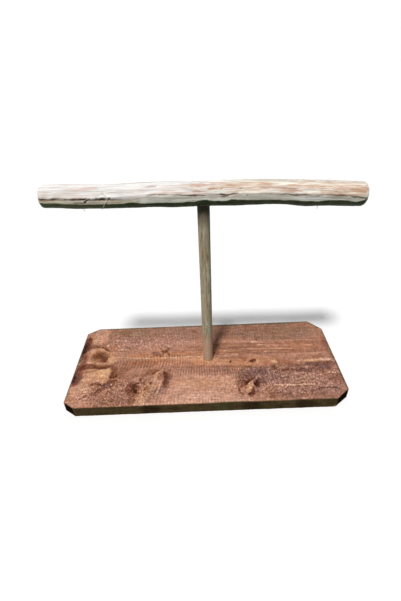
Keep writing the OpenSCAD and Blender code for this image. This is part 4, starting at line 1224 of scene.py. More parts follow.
for dent_turn, dent_z, dent_tall, dent_wide, depth in POST_DENTS:
    turn_gap = (angle - math.radians(dent_turn) + np.pi) % (2 * np.pi) - np.pi
    worn = worn + depth * oval(turn_gap * POST_RADIUS, height, (0, dent_z), (dent_wide, dent_tall), 1.2)
outer = (radius > POST_RADIUS - 0.1) & (height > POST_LOW + 0.5) & (height < POST_TOP - 0.5)
scale = np.where(outer, (radius - worn) / np.maximum(radius, 1e-6), 1)
spots[:, 0] = FOOT[0] + step_x * scale
spots[:, 1] = FOOT[1] + step_y * scale
post.data.vertices.foreach_set("co", (spots * MM).ravel())
soften(post, 40)
keep_grain(post, spots[:, 0] - FOOT[0], spots[:, 1] - FOOT[1], height)


def overlaid(tree, colour, *layers):
    """A colour with others over it. Each grows up to its most as its value goes from low to high."""
    for value, low, high, most, over in layers:
        colour = blend(tree, between(tree, value, low, high, 0.0, most), colour, opaque(over))
    return colour


dowel = new_material("weathered_dowel")
tree = dowel.node_tree
grain = kept(tree, "grain", "Vector")
broad = noise(tree, grain, (0.2, 0.2, 0.012), 3.0)
streak = noise(tree, grain, (1.5, 1.5, 0.02), 4.0, 0.6)
fine = noise(tree, grain, (4.5, 4.5, 0.16), 3.0, 0.65)
pore = noise(tree, grain, (2.6, 2.6, 0.7), 2.0, 0.6)
fleck = noise(tree, grain, (2.2, 2.2, 0.35), 2.0, 0.6)
blotch = noise(tree, grain, (0.45, 0.45, 0.07), 3.0, 0.55)
to_right, _, level = add(tree, "ShaderNodeSeparateXYZ", {0: grain}).outputs
tone = blend(tree, between(tree, broad, 0.38, 0.62), opaque((198, 185, 158)), opaque((178, 170, 140)))
tone = overlaid(
    tree, tone,
    (level, 120.0, 30.0, 0.7, (190, 192, 166)),
    (streak, 0.44, 0.68, 0.8, (136, 116, 90)),
    (blotch, 0.54, 0.66, 0.7, (138, 110, 82)),
    (blotch, 0.44, 0.32, 0.6, (220, 212, 190)),
    (pore, 0.58, 0.68, 0.75, (104, 82, 60)),
    (fleck, 0.6, 0.7, 0.6, (216, 206, 184)),
)
tone = shade(tree, tone, between(tree, fine, 0.25, 0.75, 0.85, 1.13))
# Painted shade: the first two layers darken the top of the dowel towards the perch, in place of the perch's
# shadow on it. The third makes the foot paler and warmer.
tone = overlaid(
    tree, tone,
    (level, 186.0, 217.0, 0.82, (54, 48, 27)),
    (level, 207.0, 216.0, 0.75, (18, 19, 6)),
    (level, 70.0, 40.0, 0.55, (210, 166, 138)),
)
# Painted shade: the dowel's right side, turned from the sun, is made darker and cooler.
tone = blend(tree, between(tree, to_right, 0.5, 5.5), tone, opaque((222, 232, 236)), "MULTIPLY")
grain_height = weighed(tree, (streak, 0.6), (fine, 0.4))
grain_height = maths(tree, "SUBTRACT", grain_height, between(tree, pore, 0.62, 0.74, 0.0, 0.5))
finish_wood(tree, tone, between(tree, streak, 0.2, 0.8, 0.5, 0.72), grain_height, 0.12)
post.data.materials.append(dowel)
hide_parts("post")
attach(post, "root")


# The perch: a natural branch, peeled with a drawknife along its top and sides, which left long flats and
# grooves. Dark bark is left along its underside. It is sawn square at both ends and drilled from below
# for the dowel.
PERCH_SIDES = 132
PERCH_RINGS = 470
CAP_RINGS = 20
CAP_SHARES = [1 - cap / (CAP_RINGS + 0.6) for cap in range(1, CAP_RINGS + 1)]
END_STEPS = np.array([0.06, 0.25, 0.5, 0.85, 1.3, 1.9, 2.6, 3.4, 4.3, 5.4])
END_REACH = 6.2
END_RING_PITCH = 1.7
LEAN = math.tan(math.radians(1.4))
SOCKET_TOP = 231.2
WOODS = {
    "white": (249, 245, 241),
    "cream": (252, 238, 217),
    "blush": (224, 194, 182),
    "mauve": (200, 182, 176),
    "tan": (216, 178, 146),
    "rust": (196, 146, 118),
    "grey": (176, 174, 160),
    "brown": (112, 82, 62),
    "dark": (50, 34, 24),
    "strip left": (220, 211, 186),
    "strip right": (246, 246, 232),
    "strip fleck": (150, 136, 112),
    "by bark": (126, 120, 92),
    "inner bark": (106, 84, 60),
    "grey top": (188, 190, 176),
    "bark": (46, 60, 36),
    "dry bark": (78, 82, 52),
    "black bark": (34, 42, 25),
    "green bark": (58, 82, 48),
    "pale bark": (94, 102, 72),
    "end grain": (226, 200, 166),
    "heart": (120, 88, 60),
}

# The knife's flats, as the angle of the middle, half the width and how far the middle strays, in degrees.
FLATS = ((-6, 14, 2), (30, 18, 4), (66, 18, 4), (102, 19, 5), (138, 18, 4), (174, 18, 5), (-150, 16, 3))

# Where the bark begins, and where the brown line of inner bark runs, as (distance along, angle) pairs. The
# angle is 0 at the middle of the front, 90 on top. The line's third number is how strong it is there.
BARK_EDGE = [
    (-151, -15), (-140, -18), (-120, -18), (-110, -20), (-100, -20), (-90, -18), (-80, -20), (-70, -19),
    (-65, -14), (-58, -18), (-50, -25), (-40, -23), (-30, -19), (-20, -22), (-10, -18), (-5, -21), (0, -14),
    (8, -12), (12, -18), (20, -19), (27, -18), (30, -12), (35, -13), (45, -17), (55, -19), (70, -20),
    (80, -24), (85, -18), (95, -20), (105, -18), (112, -20), (118, -14), (125, -9), (135, -8), (143, -12),
    (148, -16), (152, -10), (157, -1), (161, 0),
]
BROWN_LINE = [
    (-151, 1, 0.9), (-145, 1, 1), (-140, -3, 0.9), (-132, 4, 0.8), (-127, 4, 0.3), (-124, 3, 1), (-115, 4, 1),
    (-108, 3, 1), (-100, 2, 0.9), (-93, 4, 1), (-84, 2, 0.9), (-78, 0, 0.7), (-70, -3, 0.4), (-62, 0, 0.15),
    (-50, 8, 0.05), (-46, 15, 0.6), (-36, 15, 0.7), (-25, 16, 0.6), (-15, 12, 0.9), (-8, 10, 1), (0, 9, 1),
    (5, 7, 0.8), (8, 9, 0.3), (16, 11, 0.5), (21, 10, 1), (26, 8, 1), (32, 12, 1), (36, 12, 0.5),
    (45, 9, 0.3), (60, 8, 0.4), (70, 6, 0.5), (82, 7, 0.9), (90, 6, 1), (98, 8, 0.8), (105, 7, 0.5),
    (115, 9, 0.6), (122, 11, 0.6), (130, 12, 0.9), (137, 14, 1), (142, 11, 0.8), (150, 7, 1),
    (154, 3, 0.8), (161, 2, 0.5),
]
# The same kind of marks as the board's, with the angle in degrees across.
PERCH_MARKS = [
    # Left of the post.
    ("blush", 0.6, 0, (16, 10), (-109, 56)), ("blush", 0.55, 0, (9, 9), (-101, 58)),
    ("mauve", 0.65, -0.05, 3.2, (-124, 57), (-113, 49), (-103, 48)),
    ("mauve", 0.4, -0.03, 2.6, (-108, 60), (-95, 64)), ("blush", 0.4, 0, 3, (-105, 72), (-94, 66)),
    ("mauve", 0.25, 0, 3, (-134, 64), (-124, 60)), ("blush", 0.6, 0, (3.5, 15), (-143, 29)),
    ("mauve", 0.9, -0.12, 2.2, (-149, 36.5), (-142, 37), (-137, 35)),
    ("mauve", 0.4, -0.05, 3.4, (-140, 34), (-125, 33), (-110, 33)),
    ("mauve", 0.25, -0.04, 1.4, (-128, 48), (-112, 42), (-96, 41)),
    ("blush", 0.6, -0.06, 2.2, (-120, 23), (-105, 22), (-96, 25)),
    ("mauve", 0.35, -0.04, 1.8, (-112, 14), (-95, 16)),
    ("blush", 0.7, -0.05, 2.4, (-85, 34), (-77, 33), (-70, 32)),
    ("grey", 0.45, -0.05, 1.8, (-81, 22), (-72, 21), (-66, 18)),
    ("mauve", 0.5, -0.05, 1.6, (-67, 16), (-58, 17)), ("grey", 0.25, 0, 2.4, (-85, 14), (-70, 10)),
    ("rust", 0.7, -0.2, 2.4, (-150, 13), (-144, 12.5), (-139, 13)),
    ("cream", 0.9, 0, 3.6, (-133, 10), (-118, 11), (-98, 11)),
    ("cream", 0.5, 0, 4, (-80, 9), (-60, 8), (-52, 12)), ("grey", 0.18, 0, 4, (-52, 20), (-54, 45)),
    ("blush", 0.55, 0, 6.5, (-52, 50), (-44, 53)), ("mauve", 0.75, -0.03, (5.5, 7), (-44, 53)),
    ("cream", 0.5, 0, 1.6, (-56, 61), (-60, 42)), ("blush", 0.4, 0, 6, (-36, 48), (-26, 52), (-20, 57)),
    ("tan", 0.55, -0.06, 3.4, (-36, 33), (-26, 33), (-19, 33)),
    ("blush", 0.5, 0, 4.4, (-46, 23), (-34, 24), (-20, 25)),
    ("tan", 0.6, 0, 4.2, (-22, 23), (-12, 20), (-8, 17)),
    ("rust", 0.4, -0.05, 3.2, (-46, 15), (-36, 16), (-25, 16)),
    ("grey", 0.65, -0.06, 2.6, (-20, 44), (-12, 44), (-6, 43)), ("cream", 0.8, 0, 2.4, (-17, 37), (-8, 36)),
    ("grey", 0.4, -0.05, 3, (-12, 32), (-6, 32)), ("blush", 0.5, 0, 4, (-12, 60), (-18, 57)),
    # Over the post.
    ("blush", 0.9, 0, (8.5, 13), (0, 54)), ("rust", 0.35, -0.05, 3.4, (0, 62), (3, 58)),
    ("rust", 0.7, -0.1, 3, (4, 50), (8.5, 51)), ("rust", 0.35, -0.05, 2.6, (-4, 52), (0, 49)),
    ("rust", 0.6, -0.05, (4.5, 10), (-2, 25)), ("brown", 0.25, -0.05, (3, 4), (-4, 29)),
    ("blush", 0.5, 0, (5, 12, -20), (5, 22)), ("cream", 0.55, 0, 3.6, (-5, 40), (8, 38)),
    ("grey", 0.4, -0.04, 1.4, (0, 36), (6, 34)), ("cream", 0.6, 0, (7, 6), (13, 24)),
    ("rust", 0.85, -0.08, (3.6, 6.5), (11.5, 37)), ("mauve", 0.5, -0.05, 2.6, (14, 31), (18, 34)),
    ("tan", 0.65, 0, (4, 7), (12, 53)), ("grey", 0.35, 0, 2.4, (13, 58), (16, 60)),
    ("cream", 1, 0.02, 4, (16, 46), (20, 42)), ("grey", 0.4, 0, 2.2, (21, 52), (23, 44)),
    ("cream", 0.6, 0, 2.6, (15, 66), (18, 58)), ("rust", 0.55, 0, 3.2, (22, 62), (23.5, 72)),
    ("tan", 0.95, 0, (24, 15), (45, 50)), ("rust", 0.75, -0.06, 4, (26, 57), (29, 53)),
    ("rust", 0.35, 0, 4, (30, 49), (42, 53), (48, 56)),
    ("cream", 0.65, 0.02, 3.4, (24.5, 40), (34, 42), (44, 44), (52, 47)),
    ("rust", 0.4, 0, 7, (55, 50), (67, 48)), ("grey", 0.4, -0.04, 2.6, (52, 57), (62, 55)),
    ("cream", 0.6, 0, 2, (46, 44), (52, 49), (60, 51)),
    ("cream", 1, 0.05, 1.3, (19.5, 25), (21.5, 32), (24.3, 47)),
    ("rust", 0.8, -0.15, 0.9, (18.5, 28), (20.8, 36), (22, 40)),
    ("rust", 0.6, -0.1, 0.8, (22.5, 27), (24.5, 36)),
    ("cream", 1, 0, 4, (26, 66), (40, 65), (56, 63), (67, 63)),
    ("cream", 0.7, 0, 2.2, (25, 72), (28, 64)), ("grey", 0.6, -0.05, 3.6, (31, 75), (44, 75)),
    ("tan", 0.7, 0, 3, (24, 31), (33, 33), (40, 33)),
    # Right of the post.
    ("rust", 0.8, -0.06, (12, 7.5), (54, 31)),
    ("brown", 0.45, -0.12, 1.6, (43, 31), (52, 35.5), (58, 35), (66, 31)),
    ("brown", 0.3, -0.06, 1.4, (41, 30), (48, 24), (58, 23)),
    ("brown", 0.8, -0.25, (1.3, 3.2, 20), (38.4, 33.5)), ("rust", 0.7, -0.08, 1.2, (39.5, 38), (41, 36)),
    ("cream", 1, 0, 3.4, (25, 22), (34, 23), (45, 19), (60, 16), (78, 16)),
    ("cream", 0.5, 0, (7, 8), (73, 52)), ("blush", 0.75, 0, (7, 6), (75, 42)),
    ("mauve", 0.35, -0.04, (3.5, 5), (72, 46)), ("tan", 0.5, 0, 3, (76, 34), (81, 33)),
    ("tan", 0.5, 0, 3.6, (70, 24), (80, 23)), ("mauve", 0.5, -0.04, 3.2, (69, 69), (75, 66), (82, 69)),
    ("blush", 0.9, 0, (7, 8), (91, 68)), ("tan", 0.5, 0, 3.4, (96, 61), (88, 61)),
    ("cream", 0.9, 0, 2.4, (81, 55), (95, 56)), ("tan", 0.95, -0.03, 4.4, (81, 48), (88, 49), (96, 50)),
    ("rust", 0.6, 0, 4.8, (82, 40), (88, 39), (96, 42)),
    ("brown", 0.45, -0.1, 2.8, (80, 33), (86, 32), (92, 33)),
    ("grey", 0.9, -0.12, 1.6, (92, 31), (100, 31), (110, 31)),
    ("brown", 0.4, -0.1, 2, (110, 31), (116, 28), (119, 28)),
    ("blush", 0.8, 0, 4.6, (97, 40), (104, 43), (110, 40)), ("mauve", 0.4, -0.04, 2, (97, 47), (104, 48)),
    ("blush", 0.85, 0, (5.5, 5.5), (87, 23)), ("mauve", 0.4, -0.03, 2.4, (84, 17), (90, 16)),
    ("cream", 0.9, 0, 3.4, (94, 23), (100, 22), (106, 24)), ("tan", 0.4, 0, 3, (104, 18), (110, 18)),
    ("cream", 0.8, 0, 3.4, (97, 55), (103, 52)), ("cream", 0.5, 0, 4, (98, 68), (104, 67)),
    ("rust", 0.35, -0.08, 0.7, (104, 61), (104.3, 46), (104, 34)), ("tan", 0.5, 0, 4, (108, 56), (112, 54)),
    ("blush", 1, 0, 4.6, (112, 45), (118, 45), (126, 46)), ("rust", 0.5, -0.06, 2.6, (112, 46), (117, 44)),
    ("rust", 0.5, -0.04, 3, (119, 46), (126, 48)),
    ("cream", 1, 0.03, 2.4, (111, 52), (118, 52), (124, 54)),
    ("grey", 0.6, -0.04, 1.2, (119, 50), (125, 52)), ("tan", 0.85, 0, (8, 6), (121, 64)),
    ("brown", 0.25, -0.04, 2.2, (119, 64), (124, 64)), ("blush", 0.5, 0, 4.6, (115, 74), (126, 74)),
    ("cream", 0.9, 0, 2.2, (111, 35), (119, 35)), ("tan", 0.7, 0, (14, 8), (122, 21)),
    ("grey", 0.35, 0, 3, (112, 22), (116, 18)), ("tan", 0.6, 0, 3.4, (120, 29), (124, 33)),
    ("rust", 1, 0, (18, 15), (140, 45)), ("tan", 0.7, 0, (16, 13), (142, 36)),
    ("rust", 0.4, 0, 6, (130, 27), (138, 24)), ("rust", 0.4, 0, 4, (134, 43), (146, 41)),
    ("tan", 0.5, 0, 3, (127, 57), (134, 59), (144, 57), (152, 62)),
    ("cream", 0.8, 0, 2, (132, 54), (140, 54), (149, 57)), ("brown", 0.7, -0.2, (1.7, 3.2), (127, 30)),
    ("cream", 0.6, 0.03, (2.6, 4), (138, 36)), ("cream", 0.4, 0, 1.8, (129, 37), (133, 36)),
    ("cream", 0.9, 0, 4.2, (142, 25), (150, 23), (156, 25)), ("blush", 0.5, 0, 2.4, (142, 17), (150, 16)),
    ("tan", 0.5, 0, 3, (150, 32), (156, 32)), ("tan", 0.6, 0, 2.6, (127, 67), (138, 68), (150, 66)),
    ("blush", 0.8, 0, (4, 10), (154, 49)), ("rust", 0.4, 0, 3, (154, 40), (157, 38)),
    # The back.
    ("blush", 0.5, 0, 5, (-110, 110), (-40, 118), (30, 112)),
    ("tan", 0.5, 0, 6, (-140, 140), (-90, 146), (-60, 138)),
    ("tan", 0.6, 0, 7, (60, 120), (110, 126), (150, 118)),
    ("rust", 0.4, 0, 6, (-20, 160), (40, 152), (90, 158)), ("mauve", 0.6, 0, 4, (-60, 172), (-20, 176)),
    ("grey", 0.6, 0, 5, (70, 172), (130, 168)), ("rust", 0.6, -0.1, (5, 9, 20), (20, 134)),
    ("brown", 0.9, -0.5, (2, 4.5, 20), (21, 135)), ("rust", 0.6, -0.1, (3.4, 7), (100, 144)),
    ("dark", 0.8, -0.4, (1.4, 3.5), (100, 144)),
]
# What lies over the grey strip and the brown line: the knot, the crack beside it, and small blemishes.
PERCH_BLEMISHES = [
    # Near the post and right of it.
    ("brown", 0.75, -0.15, 3.4, (27, 4), (23, 2), (22, -2)),
    ("brown", 0.75, -0.2, 3.4, (21, 9), (26, 8), (31, 9)), ("mauve", 0.6, 0, 4, (10, 3), (20, 3)),
    ("brown", 0.5, -0.1, 3, (30, 16), (36, 13)), ("mauve", 0.7, 0, (6, 6), (34, 4)),
    ("brown", 0.4, -0.1, 2.6, (10, -11), (16, -10)), ("tan", 0.6, 0, 2, (28, 18), (24, 20)),
    ("brown", 0.45, -0.1, 2, (-3, 2), (3, 1)), ("brown", 0.45, -0.15, 0.6, (44.5, 9), (44.8, -2)),
    ("brown", 0.6, -0.12, 1.8, (103, 1), (107, 0), (112, 1)), ("grey", 0.5, -0.05, 2, (94, -2), (104, -8)),
    # Left of the post.
    ("white", 0.45, 0, 3, (-120, -8), (-108, -5), (-94, -6)),
    ("grey", 0.6, 0, 2.4, (-103, -10), (-97, -10)), ("cream", 0.5, 0, 3, (-95, -8), (-84, -5)),
    ("tan", 0.4, 0, 3, (-82, -10), (-72, -12)), ("rust", 0.4, 0, 4, (-148, -4), (-137, -6)),
    ("brown", 0.7, 0, 3.6, (-118, -14), (-106, -15)), ("tan", 0.8, 0.05, 0.8, (-128, 2), (-127, 11)),
    ("brown", 0.6, -0.1, 2, (-131, 10), (-129, 11)), ("cream", 0.7, 0.05, 0.5, (-125.4, 3), (-125.8, 12)),
    # The crack.
    ("dark", 0.95, -0.6, 1.1, (-109.8, -1), (-107.5, 4), (-104.8, 9.5)),
    ("dark", 0.95, -0.7, 1, (-106.4, -17), (-106, -8), (-104.3, -1), (-100.8, 6)),
    ("cream", 0.7, 0.15, 0.5, (-108, -3), (-105.5, 3), (-103, 8)),
    # The knot.
    ("brown", 0.8, -0.25, 2, (-95.6, 9), (-93.4, 9)), ("dark", 1, -0.8, (2.4, 6), (-89.9, 5.5)),
    ("dark", 0.8, -0.5, (1.2, 3), (-87.4, 9)), ("dark", 1, -0.6, (5.6, 1.5, 62), (-84.2, 6)),
    ("brown", 0.6, -0.2, 2.4, (-94, -1), (-86, -1)),
    ("brown", 0.45, -0.12, 0.45, (-95.4, 13), (-93.2, 22), (-90.8, 30), (-88.6, 34)),
    ("brown", 0.6, -0.12, 0.5, (-90.9, 35), (-88, 26), (-86, 17), (-85.2, 12)),
    ("brown", 0.5, -0.05, 0.35, (-88.2, 45), (-88.6, 34)), ("white", 0.8, 0.05, (2.6, 6), (-90, 18)),
    ("cream", 0.4, 0.03, (1.8, 5.5), (-83.6, 18)), ("white", 0.7, 0.05, 0.7, (-82.6, 31), (-80.6, 22)),
]

# The plain branch is felt from outside, ring by ring, so that the detailed one keeps its form and place. The
# socket's mouth is bridged, and is cut again at the end.
FEEL_FROM = 0.03
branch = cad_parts["perch"]
branch_low, branch_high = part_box("perch")
tree_of_faces = BVHTree.FromObject(branch, bpy.context.evaluated_depsgraph_get())
branch_points = points_of(branch)
middles = []
for station in np.arange(-149.5, 160, 5.0):
    near = np.abs(branch_points[:, 0] - station) < 4
    clear_of_socket = np.hypot(branch_points[:, 1] - FOOT[1], branch_points[:, 2] - 229.5) > 9
    slice_points = branch_points[near & clear_of_socket]
    middle = (slice_points.min(0) + slice_points.max(0)) / 2
    middles.append((station, middle[1], middle[2]))
middles = np.array(middles)
sawn_faces = []
for end_x, inwards in ((branch_low.x, 1), (branch_high.x, -1)):
    middle = [np.interp(end_x / MM, middles[:, 0], middles[:, part]) * MM for part in (1, 2)]
    before_end = Vector((end_x - 0.01 * inwards, *middle))
    sawn_faces.append(tree_of_faces.ray_cast(before_end, Vector((inwards, 0, 0)))[0].x / MM)
low_x, high_x = sawn_faces
stations = np.concatenate((
    low_x + END_STEPS,
    np.linspace(low_x + END_REACH, high_x - END_REACH, PERCH_RINGS),
    (high_x - END_STEPS)[::-1],
))
centre_y = np.interp(stations, middles[:, 0], middles[:, 1])
centre_z = np.interp(stations, middles[:, 0], middles[:, 2])
turns = -math.pi / 2 + 2 * math.pi * np.arange(PERCH_SIDES) / PERCH_SIDES
girth = np.full((len(stations), PERCH_SIDES), np.nan)
for ring, station in enumerate(stations):
    axis_point = Vector((station, centre_y[ring], centre_z[ring])) * MM
    for side, turn in enumerate(turns):
        outwards = Vector((LEAN * math.sin(turn), -math.cos(turn), math.sin(turn)))
        hit = tree_of_faces.ray_cast(axis_point + outwards * FEEL_FROM, -outwards)[0]
        if hit is not None:
            girth[ring, side] = (hit - axis_point).length / MM
over_socket = np.abs(stations - FOOT[0]) < 8.5
for side in np.flatnonzero(np.sin(turns) < -0.2):
    outside = ~over_socket & ~np.isnan(girth[:, side])
    girth[over_socket, side] = np.interp(stations[over_socket], stations[outside], girth[outside, side])
for side in range(PERCH_SIDES):
    known = ~np.isnan(girth[:, side])
    girth[:, side] = np.interp(stations, stations[known], girth[known, side])

along = np.repeat(stations[:, None], PERCH_SIDES, 1)
degrees = np.repeat(np.degrees(turns)[None, :], len(stations), 0)
wrapped = np.where(degrees > 180, degrees - 360, degrees)
lap = np.arange(PERCH_SIDES)[None, :] / PERCH_SIDES + np.zeros_like(along)


def round_branch(count, pitch, seed):
    """Unevenness that closes round the branch, with so many changes in a turn."""
    spread = lap * count
    first = wander(spread, along / pitch, seed)
    second = wander(spread - count, along / pitch, seed)
    share = ease((lap - 0.9) / 0.1)
    return first * (1 - share) + second * share


# Where the bark and the brown line lie, then how deep the surface is carved, and the mesh from that.
bark_edge = np.interp(along, *np.array(BARK_EDGE).T) + 1.2 * round_branch(6, 3, 40)
back_edge = uneven(along, along * 0, (9, 22, 1, 41), (4, 6, 1, 42), level=-158)
under_bark = ease((bark_edge - wrapped) / 2.5 + 0.5) * ease((wrapped - back_edge) / 3 + 0.5)
peeled = 1 - under_bark
line_place, line_turn, line_force = np.array(BROWN_LINE).T
line_gap = wrapped - np.interp(along, line_place, line_turn) - 1.6 * round_branch(8, 2.5, 43)
line_force = np.interp(along, line_place, line_force) * (0.8 + 0.2 * round_branch(9, 2, 44))
line_half = (4.2 + 1.6 * ease((-110 - along) / 20)) * (1 + 0.45 * wander(along / 4.5, along * 0, 65))
brown_line = line_force * np.exp(-((line_gap / line_half) ** 2))

carved = np.zeros_like(along)
for middle, half_width, stray in FLATS:
    offset = (degrees - middle - stray * wander(along / 60, along * 0 + middle, 45) + 180) % 360 - 180
    depth_share = 1 - math.cos(math.radians(half_width))
    depth_share = depth_share * (0.75 + 0.35 * wander(along / 45, along * 0 + middle, 46))
    flat_radius = girth * (1 - depth_share) / np.cos(np.radians(np.clip(offset, -60, 60)))
    carved = np.maximum(carved, np.where(np.abs(offset) < 60, girth - flat_radius, 0))
carved = carved * peeled + 0.35 * peeled
for depth, count, pitch, seed in ((0.09, 58, 34, 47), (0.05, 120, 14, 48), (0.12, 18, 24, 49)):
    carved = carved + peeled * depth * (1 + round_branch(count, pitch, seed))
carved = carved + under_bark * (0.10 * (1 + round_branch(40, 3.0, 50)) + 0.12 * (1 + round_branch(14, 8, 51)))
carved = carved + 0.45 * brown_line
sway = (0.8 * round_branch(10, 5, 52), 1.6 * round_branch(12, 7, 53))
carved = -raised(-carved, PERCH_MARKS + PERCH_BLEMISHES, along, wrapped, sway)
inset = np.minimum(stations - low_x, high_x - stations)
carved = np.maximum(carved, 0.02) * ease(inset / 0.8 + 0.15)[:, None]
shaped = girth - carved


def drying_checks(share):
    """How deep the drying cracks of a sawn end are round a ring, at a share of the radius."""
    cracks = np.exp(-((wrapped[0] - 62 - 9 * share) / (1.2 + 3 * share)) ** 2)
    cracks = cracks + 0.8 * np.exp(-((wrapped[0] + 121 + 6 * share) / (1.0 + 2.4 * share)) ** 2)
    return cracks * ease((share - 0.08) / 0.2)


cosines = np.cos(turns)
sines = np.sin(turns)
skin_x = stations[:, None] + LEAN * shaped * sines
skin_y = centre_y[:, None] - shaped * cosines
skin_z = centre_z[:, None] + shaped * sines
perch_points = [np.column_stack((skin_x.ravel(), skin_y.ravel(), skin_z.ravel()))]
number = np.arange(along.size).reshape(along.shape)
perch_faces = []
for low, high in zip(number, number[1:]):
    perch_faces.extend(hoop(low, high))
first_of_ring = along.size
for end, face_x, inwards in ((0, low_x, 1), (-1, high_x, -1)):
    outer_ring = number[end]
    for share in CAP_SHARES:
        reach = shaped[end] * share
        ys = centre_y[end] - reach * cosines
        zs = centre_z[end] + reach * sines
        dip = 0.05 + 0.05 * wander(ys / 1.6, zs / 9, 54) + 0.05 * np.sin(reach * 2 * np.pi / END_RING_PITCH)
        dip = np.clip(dip, 0.0, 0.2) + 0.3 * drying_checks(share)
        perch_points.append(np.column_stack((face_x + inwards * dip + LEAN * (zs - centre_z[end]), ys, zs)))
        inner_ring = first_of_ring + np.arange(PERCH_SIDES)
        perch_faces.extend(hoop(inner_ring, outer_ring) if end == 0 else hoop(outer_ring, inner_ring))
        outer_ring = inner_ring
        first_of_ring += PERCH_SIDES
    closing = outer_ring.tolist()
    perch_faces.append(tuple(closing if end == 0 else closing[::-1]))
perch = new_piece("peeled_branch_perch", np.concatenate(perch_points), perch_faces)

# Its colours: the peeled wood with its marks, the grey strip beside the bark, the brown line, the blemishes
# over them and the bark, and then the sawn ends.
wood = np.tile(linear(WOODS["white"]), (*along.shape, 1))
right_half = ease(along / 60)
wood = lay(wood, 0.5 * right_half, WOODS["cream"])
behind = ease((wrapped - 95) / 15) + ease((-150 - wrapped) / 8)
wood = lay(wood, 0.5 * behind * ease(0.5 + round_branch(9, 30, 55)), WOODS["tan"])
wood = lay(wood, 0.4 * behind * ease(0.3 + round_branch(14, 22, 56)), WOODS["blush"])
wood = lay(wood, 0.3 * behind * ease(0.2 + round_branch(22, 40, 57)), WOODS["grey"])
patchy = np.clip(0.72 + 0.2 * round_branch(20, 9, 58) + 0.45 * round_branch(52, 17, 70), 0, 1)
wood = painted(wood, PERCH_MARKS, WOODS, along, wrapped, sway, patchy)
grey_strip = ease((wrapped - bark_edge) / 3 + 1.2) * ease(-line_gap / 3 + 0.3) * (wrapped < 40)
by_bark = ease(1.2 - (wrapped - bark_edge) / 5) * ease((wrapped - bark_edge) / 3 + 1.2)
strip = np.where(along[..., None] < -55, linear(WOODS["strip left"]), linear(WOODS["strip right"]))
wood = cover(wood, 0.85 * grey_strip, strip)
wood = lay(wood, 0.15 * grey_strip * ease(0.4 + 1.3 * round_branch(26, 13, 69)), WOODS["strip fleck"])
wood = lay(wood, 0.35 * by_bark, WOODS["by bark"])
wood = lay(wood, np.clip(brown_line * 1.4, 0, 1), WOODS["inner bark"])
line_dark = 1.1 - 0.65 * ease((-112 - along) / 8)
wood = lay(wood, line_dark * np.clip(brown_line - 0.45, 0, 1), WOODS["dark"])
wood = painted(wood, PERCH_BLEMISHES, WOODS, along, wrapped, sway)
streaks = 1 + 0.06 * round_branch(40, 22, 59) + 0.055 * round_branch(80, 9, 60)
streaks = streaks + grey_strip * (0.14 * round_branch(36, 16, 66) + 0.10 * round_branch(70, 5, 67))
wood = wood * streaks[..., None]
wood = lay(wood, 0.4 * right_half * ease((wrapped - 62) / 12) * ease((110 - wrapped) / 12), WOODS["grey top"])
bark_tone = np.tile(linear(WOODS["bark"]), (*along.shape, 1))
bark_tone = lay(bark_tone, 0.5 * ease(0.5 + 1.2 * round_branch(12, 7, 61)), WOODS["dry bark"])
bark_tone = lay(bark_tone, 0.45 * ease(1.4 * round_branch(9, 12, 62)), WOODS["black bark"])
bark_tone = lay(bark_tone, 0.4 * ease(1.6 * round_branch(7, 15, 63)), WOODS["green bark"])
bark_tone = lay(bark_tone, 0.5 * ease((-along - 60) / 40), WOODS["pale bark"])
wood = cover(wood, under_bark, bark_tone)

all_wood = [wood.reshape(-1, 3)]
all_reaches = [shaped.ravel()]
for end in (0, -1):
    for share in CAP_SHARES:
        reach = shaped[end] * share
        tone = np.tile(linear(WOODS["end grain"]), (PERCH_SIDES, 1))
        tone = tone * (0.84 + 0.16 * np.sin(reach * 2 * np.pi / END_RING_PITCH))[:, None]
        tone = tone + 0.6 * ease((share - 0.86) / 0.1) * (wood[end] - tone)
        tone = tone + 0.8 * ease((0.14 - share) / 0.08) * (linear(WOODS["heart"]) - tone)
        tone = tone * (1 - 0.8 * np.clip(drying_checks(share), 0, 1))[:, None]
        all_wood.append(tone)
        all_reaches.append(reach)
all_wood = np.concatenate(all_wood)
all_reaches = np.concatenate(all_reaches)
all_rings = len(all_reaches) // PERCH_SIDES


def keep_on_skin(name, values):
    """Keeps one value for each point of the branch's skin, and 0 over its sawn ends."""
    keep_on(perch, name, "FLOAT", np.concatenate((values.ravel(), np.zeros(2 * CAP_RINGS * PERCH_SIDES))))


straight_y = all_reaches * np.tile(-cosines, all_rings)
straight_z = all_reaches * np.tile(sines, all_rings)
keep_stain(perch, all_wood, 0.93)
keep_grain(perch, points_of(perch)[:, 0], straight_y, straight_z)
keep_on_skin("bark", under_bark)
keep_on_skin("fuzz", peeled * (0.25 + 0.75 * ease(0.5 + round_branch(7, 26, 68))) * (inset[:, None] > 4))
dull = (0.3 - 0.12 * ease((-along - 50) / 20)) * ease((wrapped - 8) / 6)
dull = dull + 0.25 * ease((along - 10) / 30) * ease((wrapped - 66) / 10)
keep_on_skin("dull", dull)
ruddy = ease((along + 45) / 55) * ease((wrapped - 10) / 6) * ease((84 - wrapped) / 10) * 0.6
ruddy = ruddy + 0.22 * ease((-along - 30) / 20) * ease((wrapped - 12) / 6) * ease((78 - wrapped) / 12)
ruddy = ruddy + 0.5 * ease((wrapped - 100) / 12)
keep_on_skin("ruddy", ruddy)
cut_away(perch, turned("bore_cutter", ((SOCKET_RADIUS, 195), (SOCKET_RADIUS, SOCKET_TOP)), FOOT, 64))
soften(perch, 50)

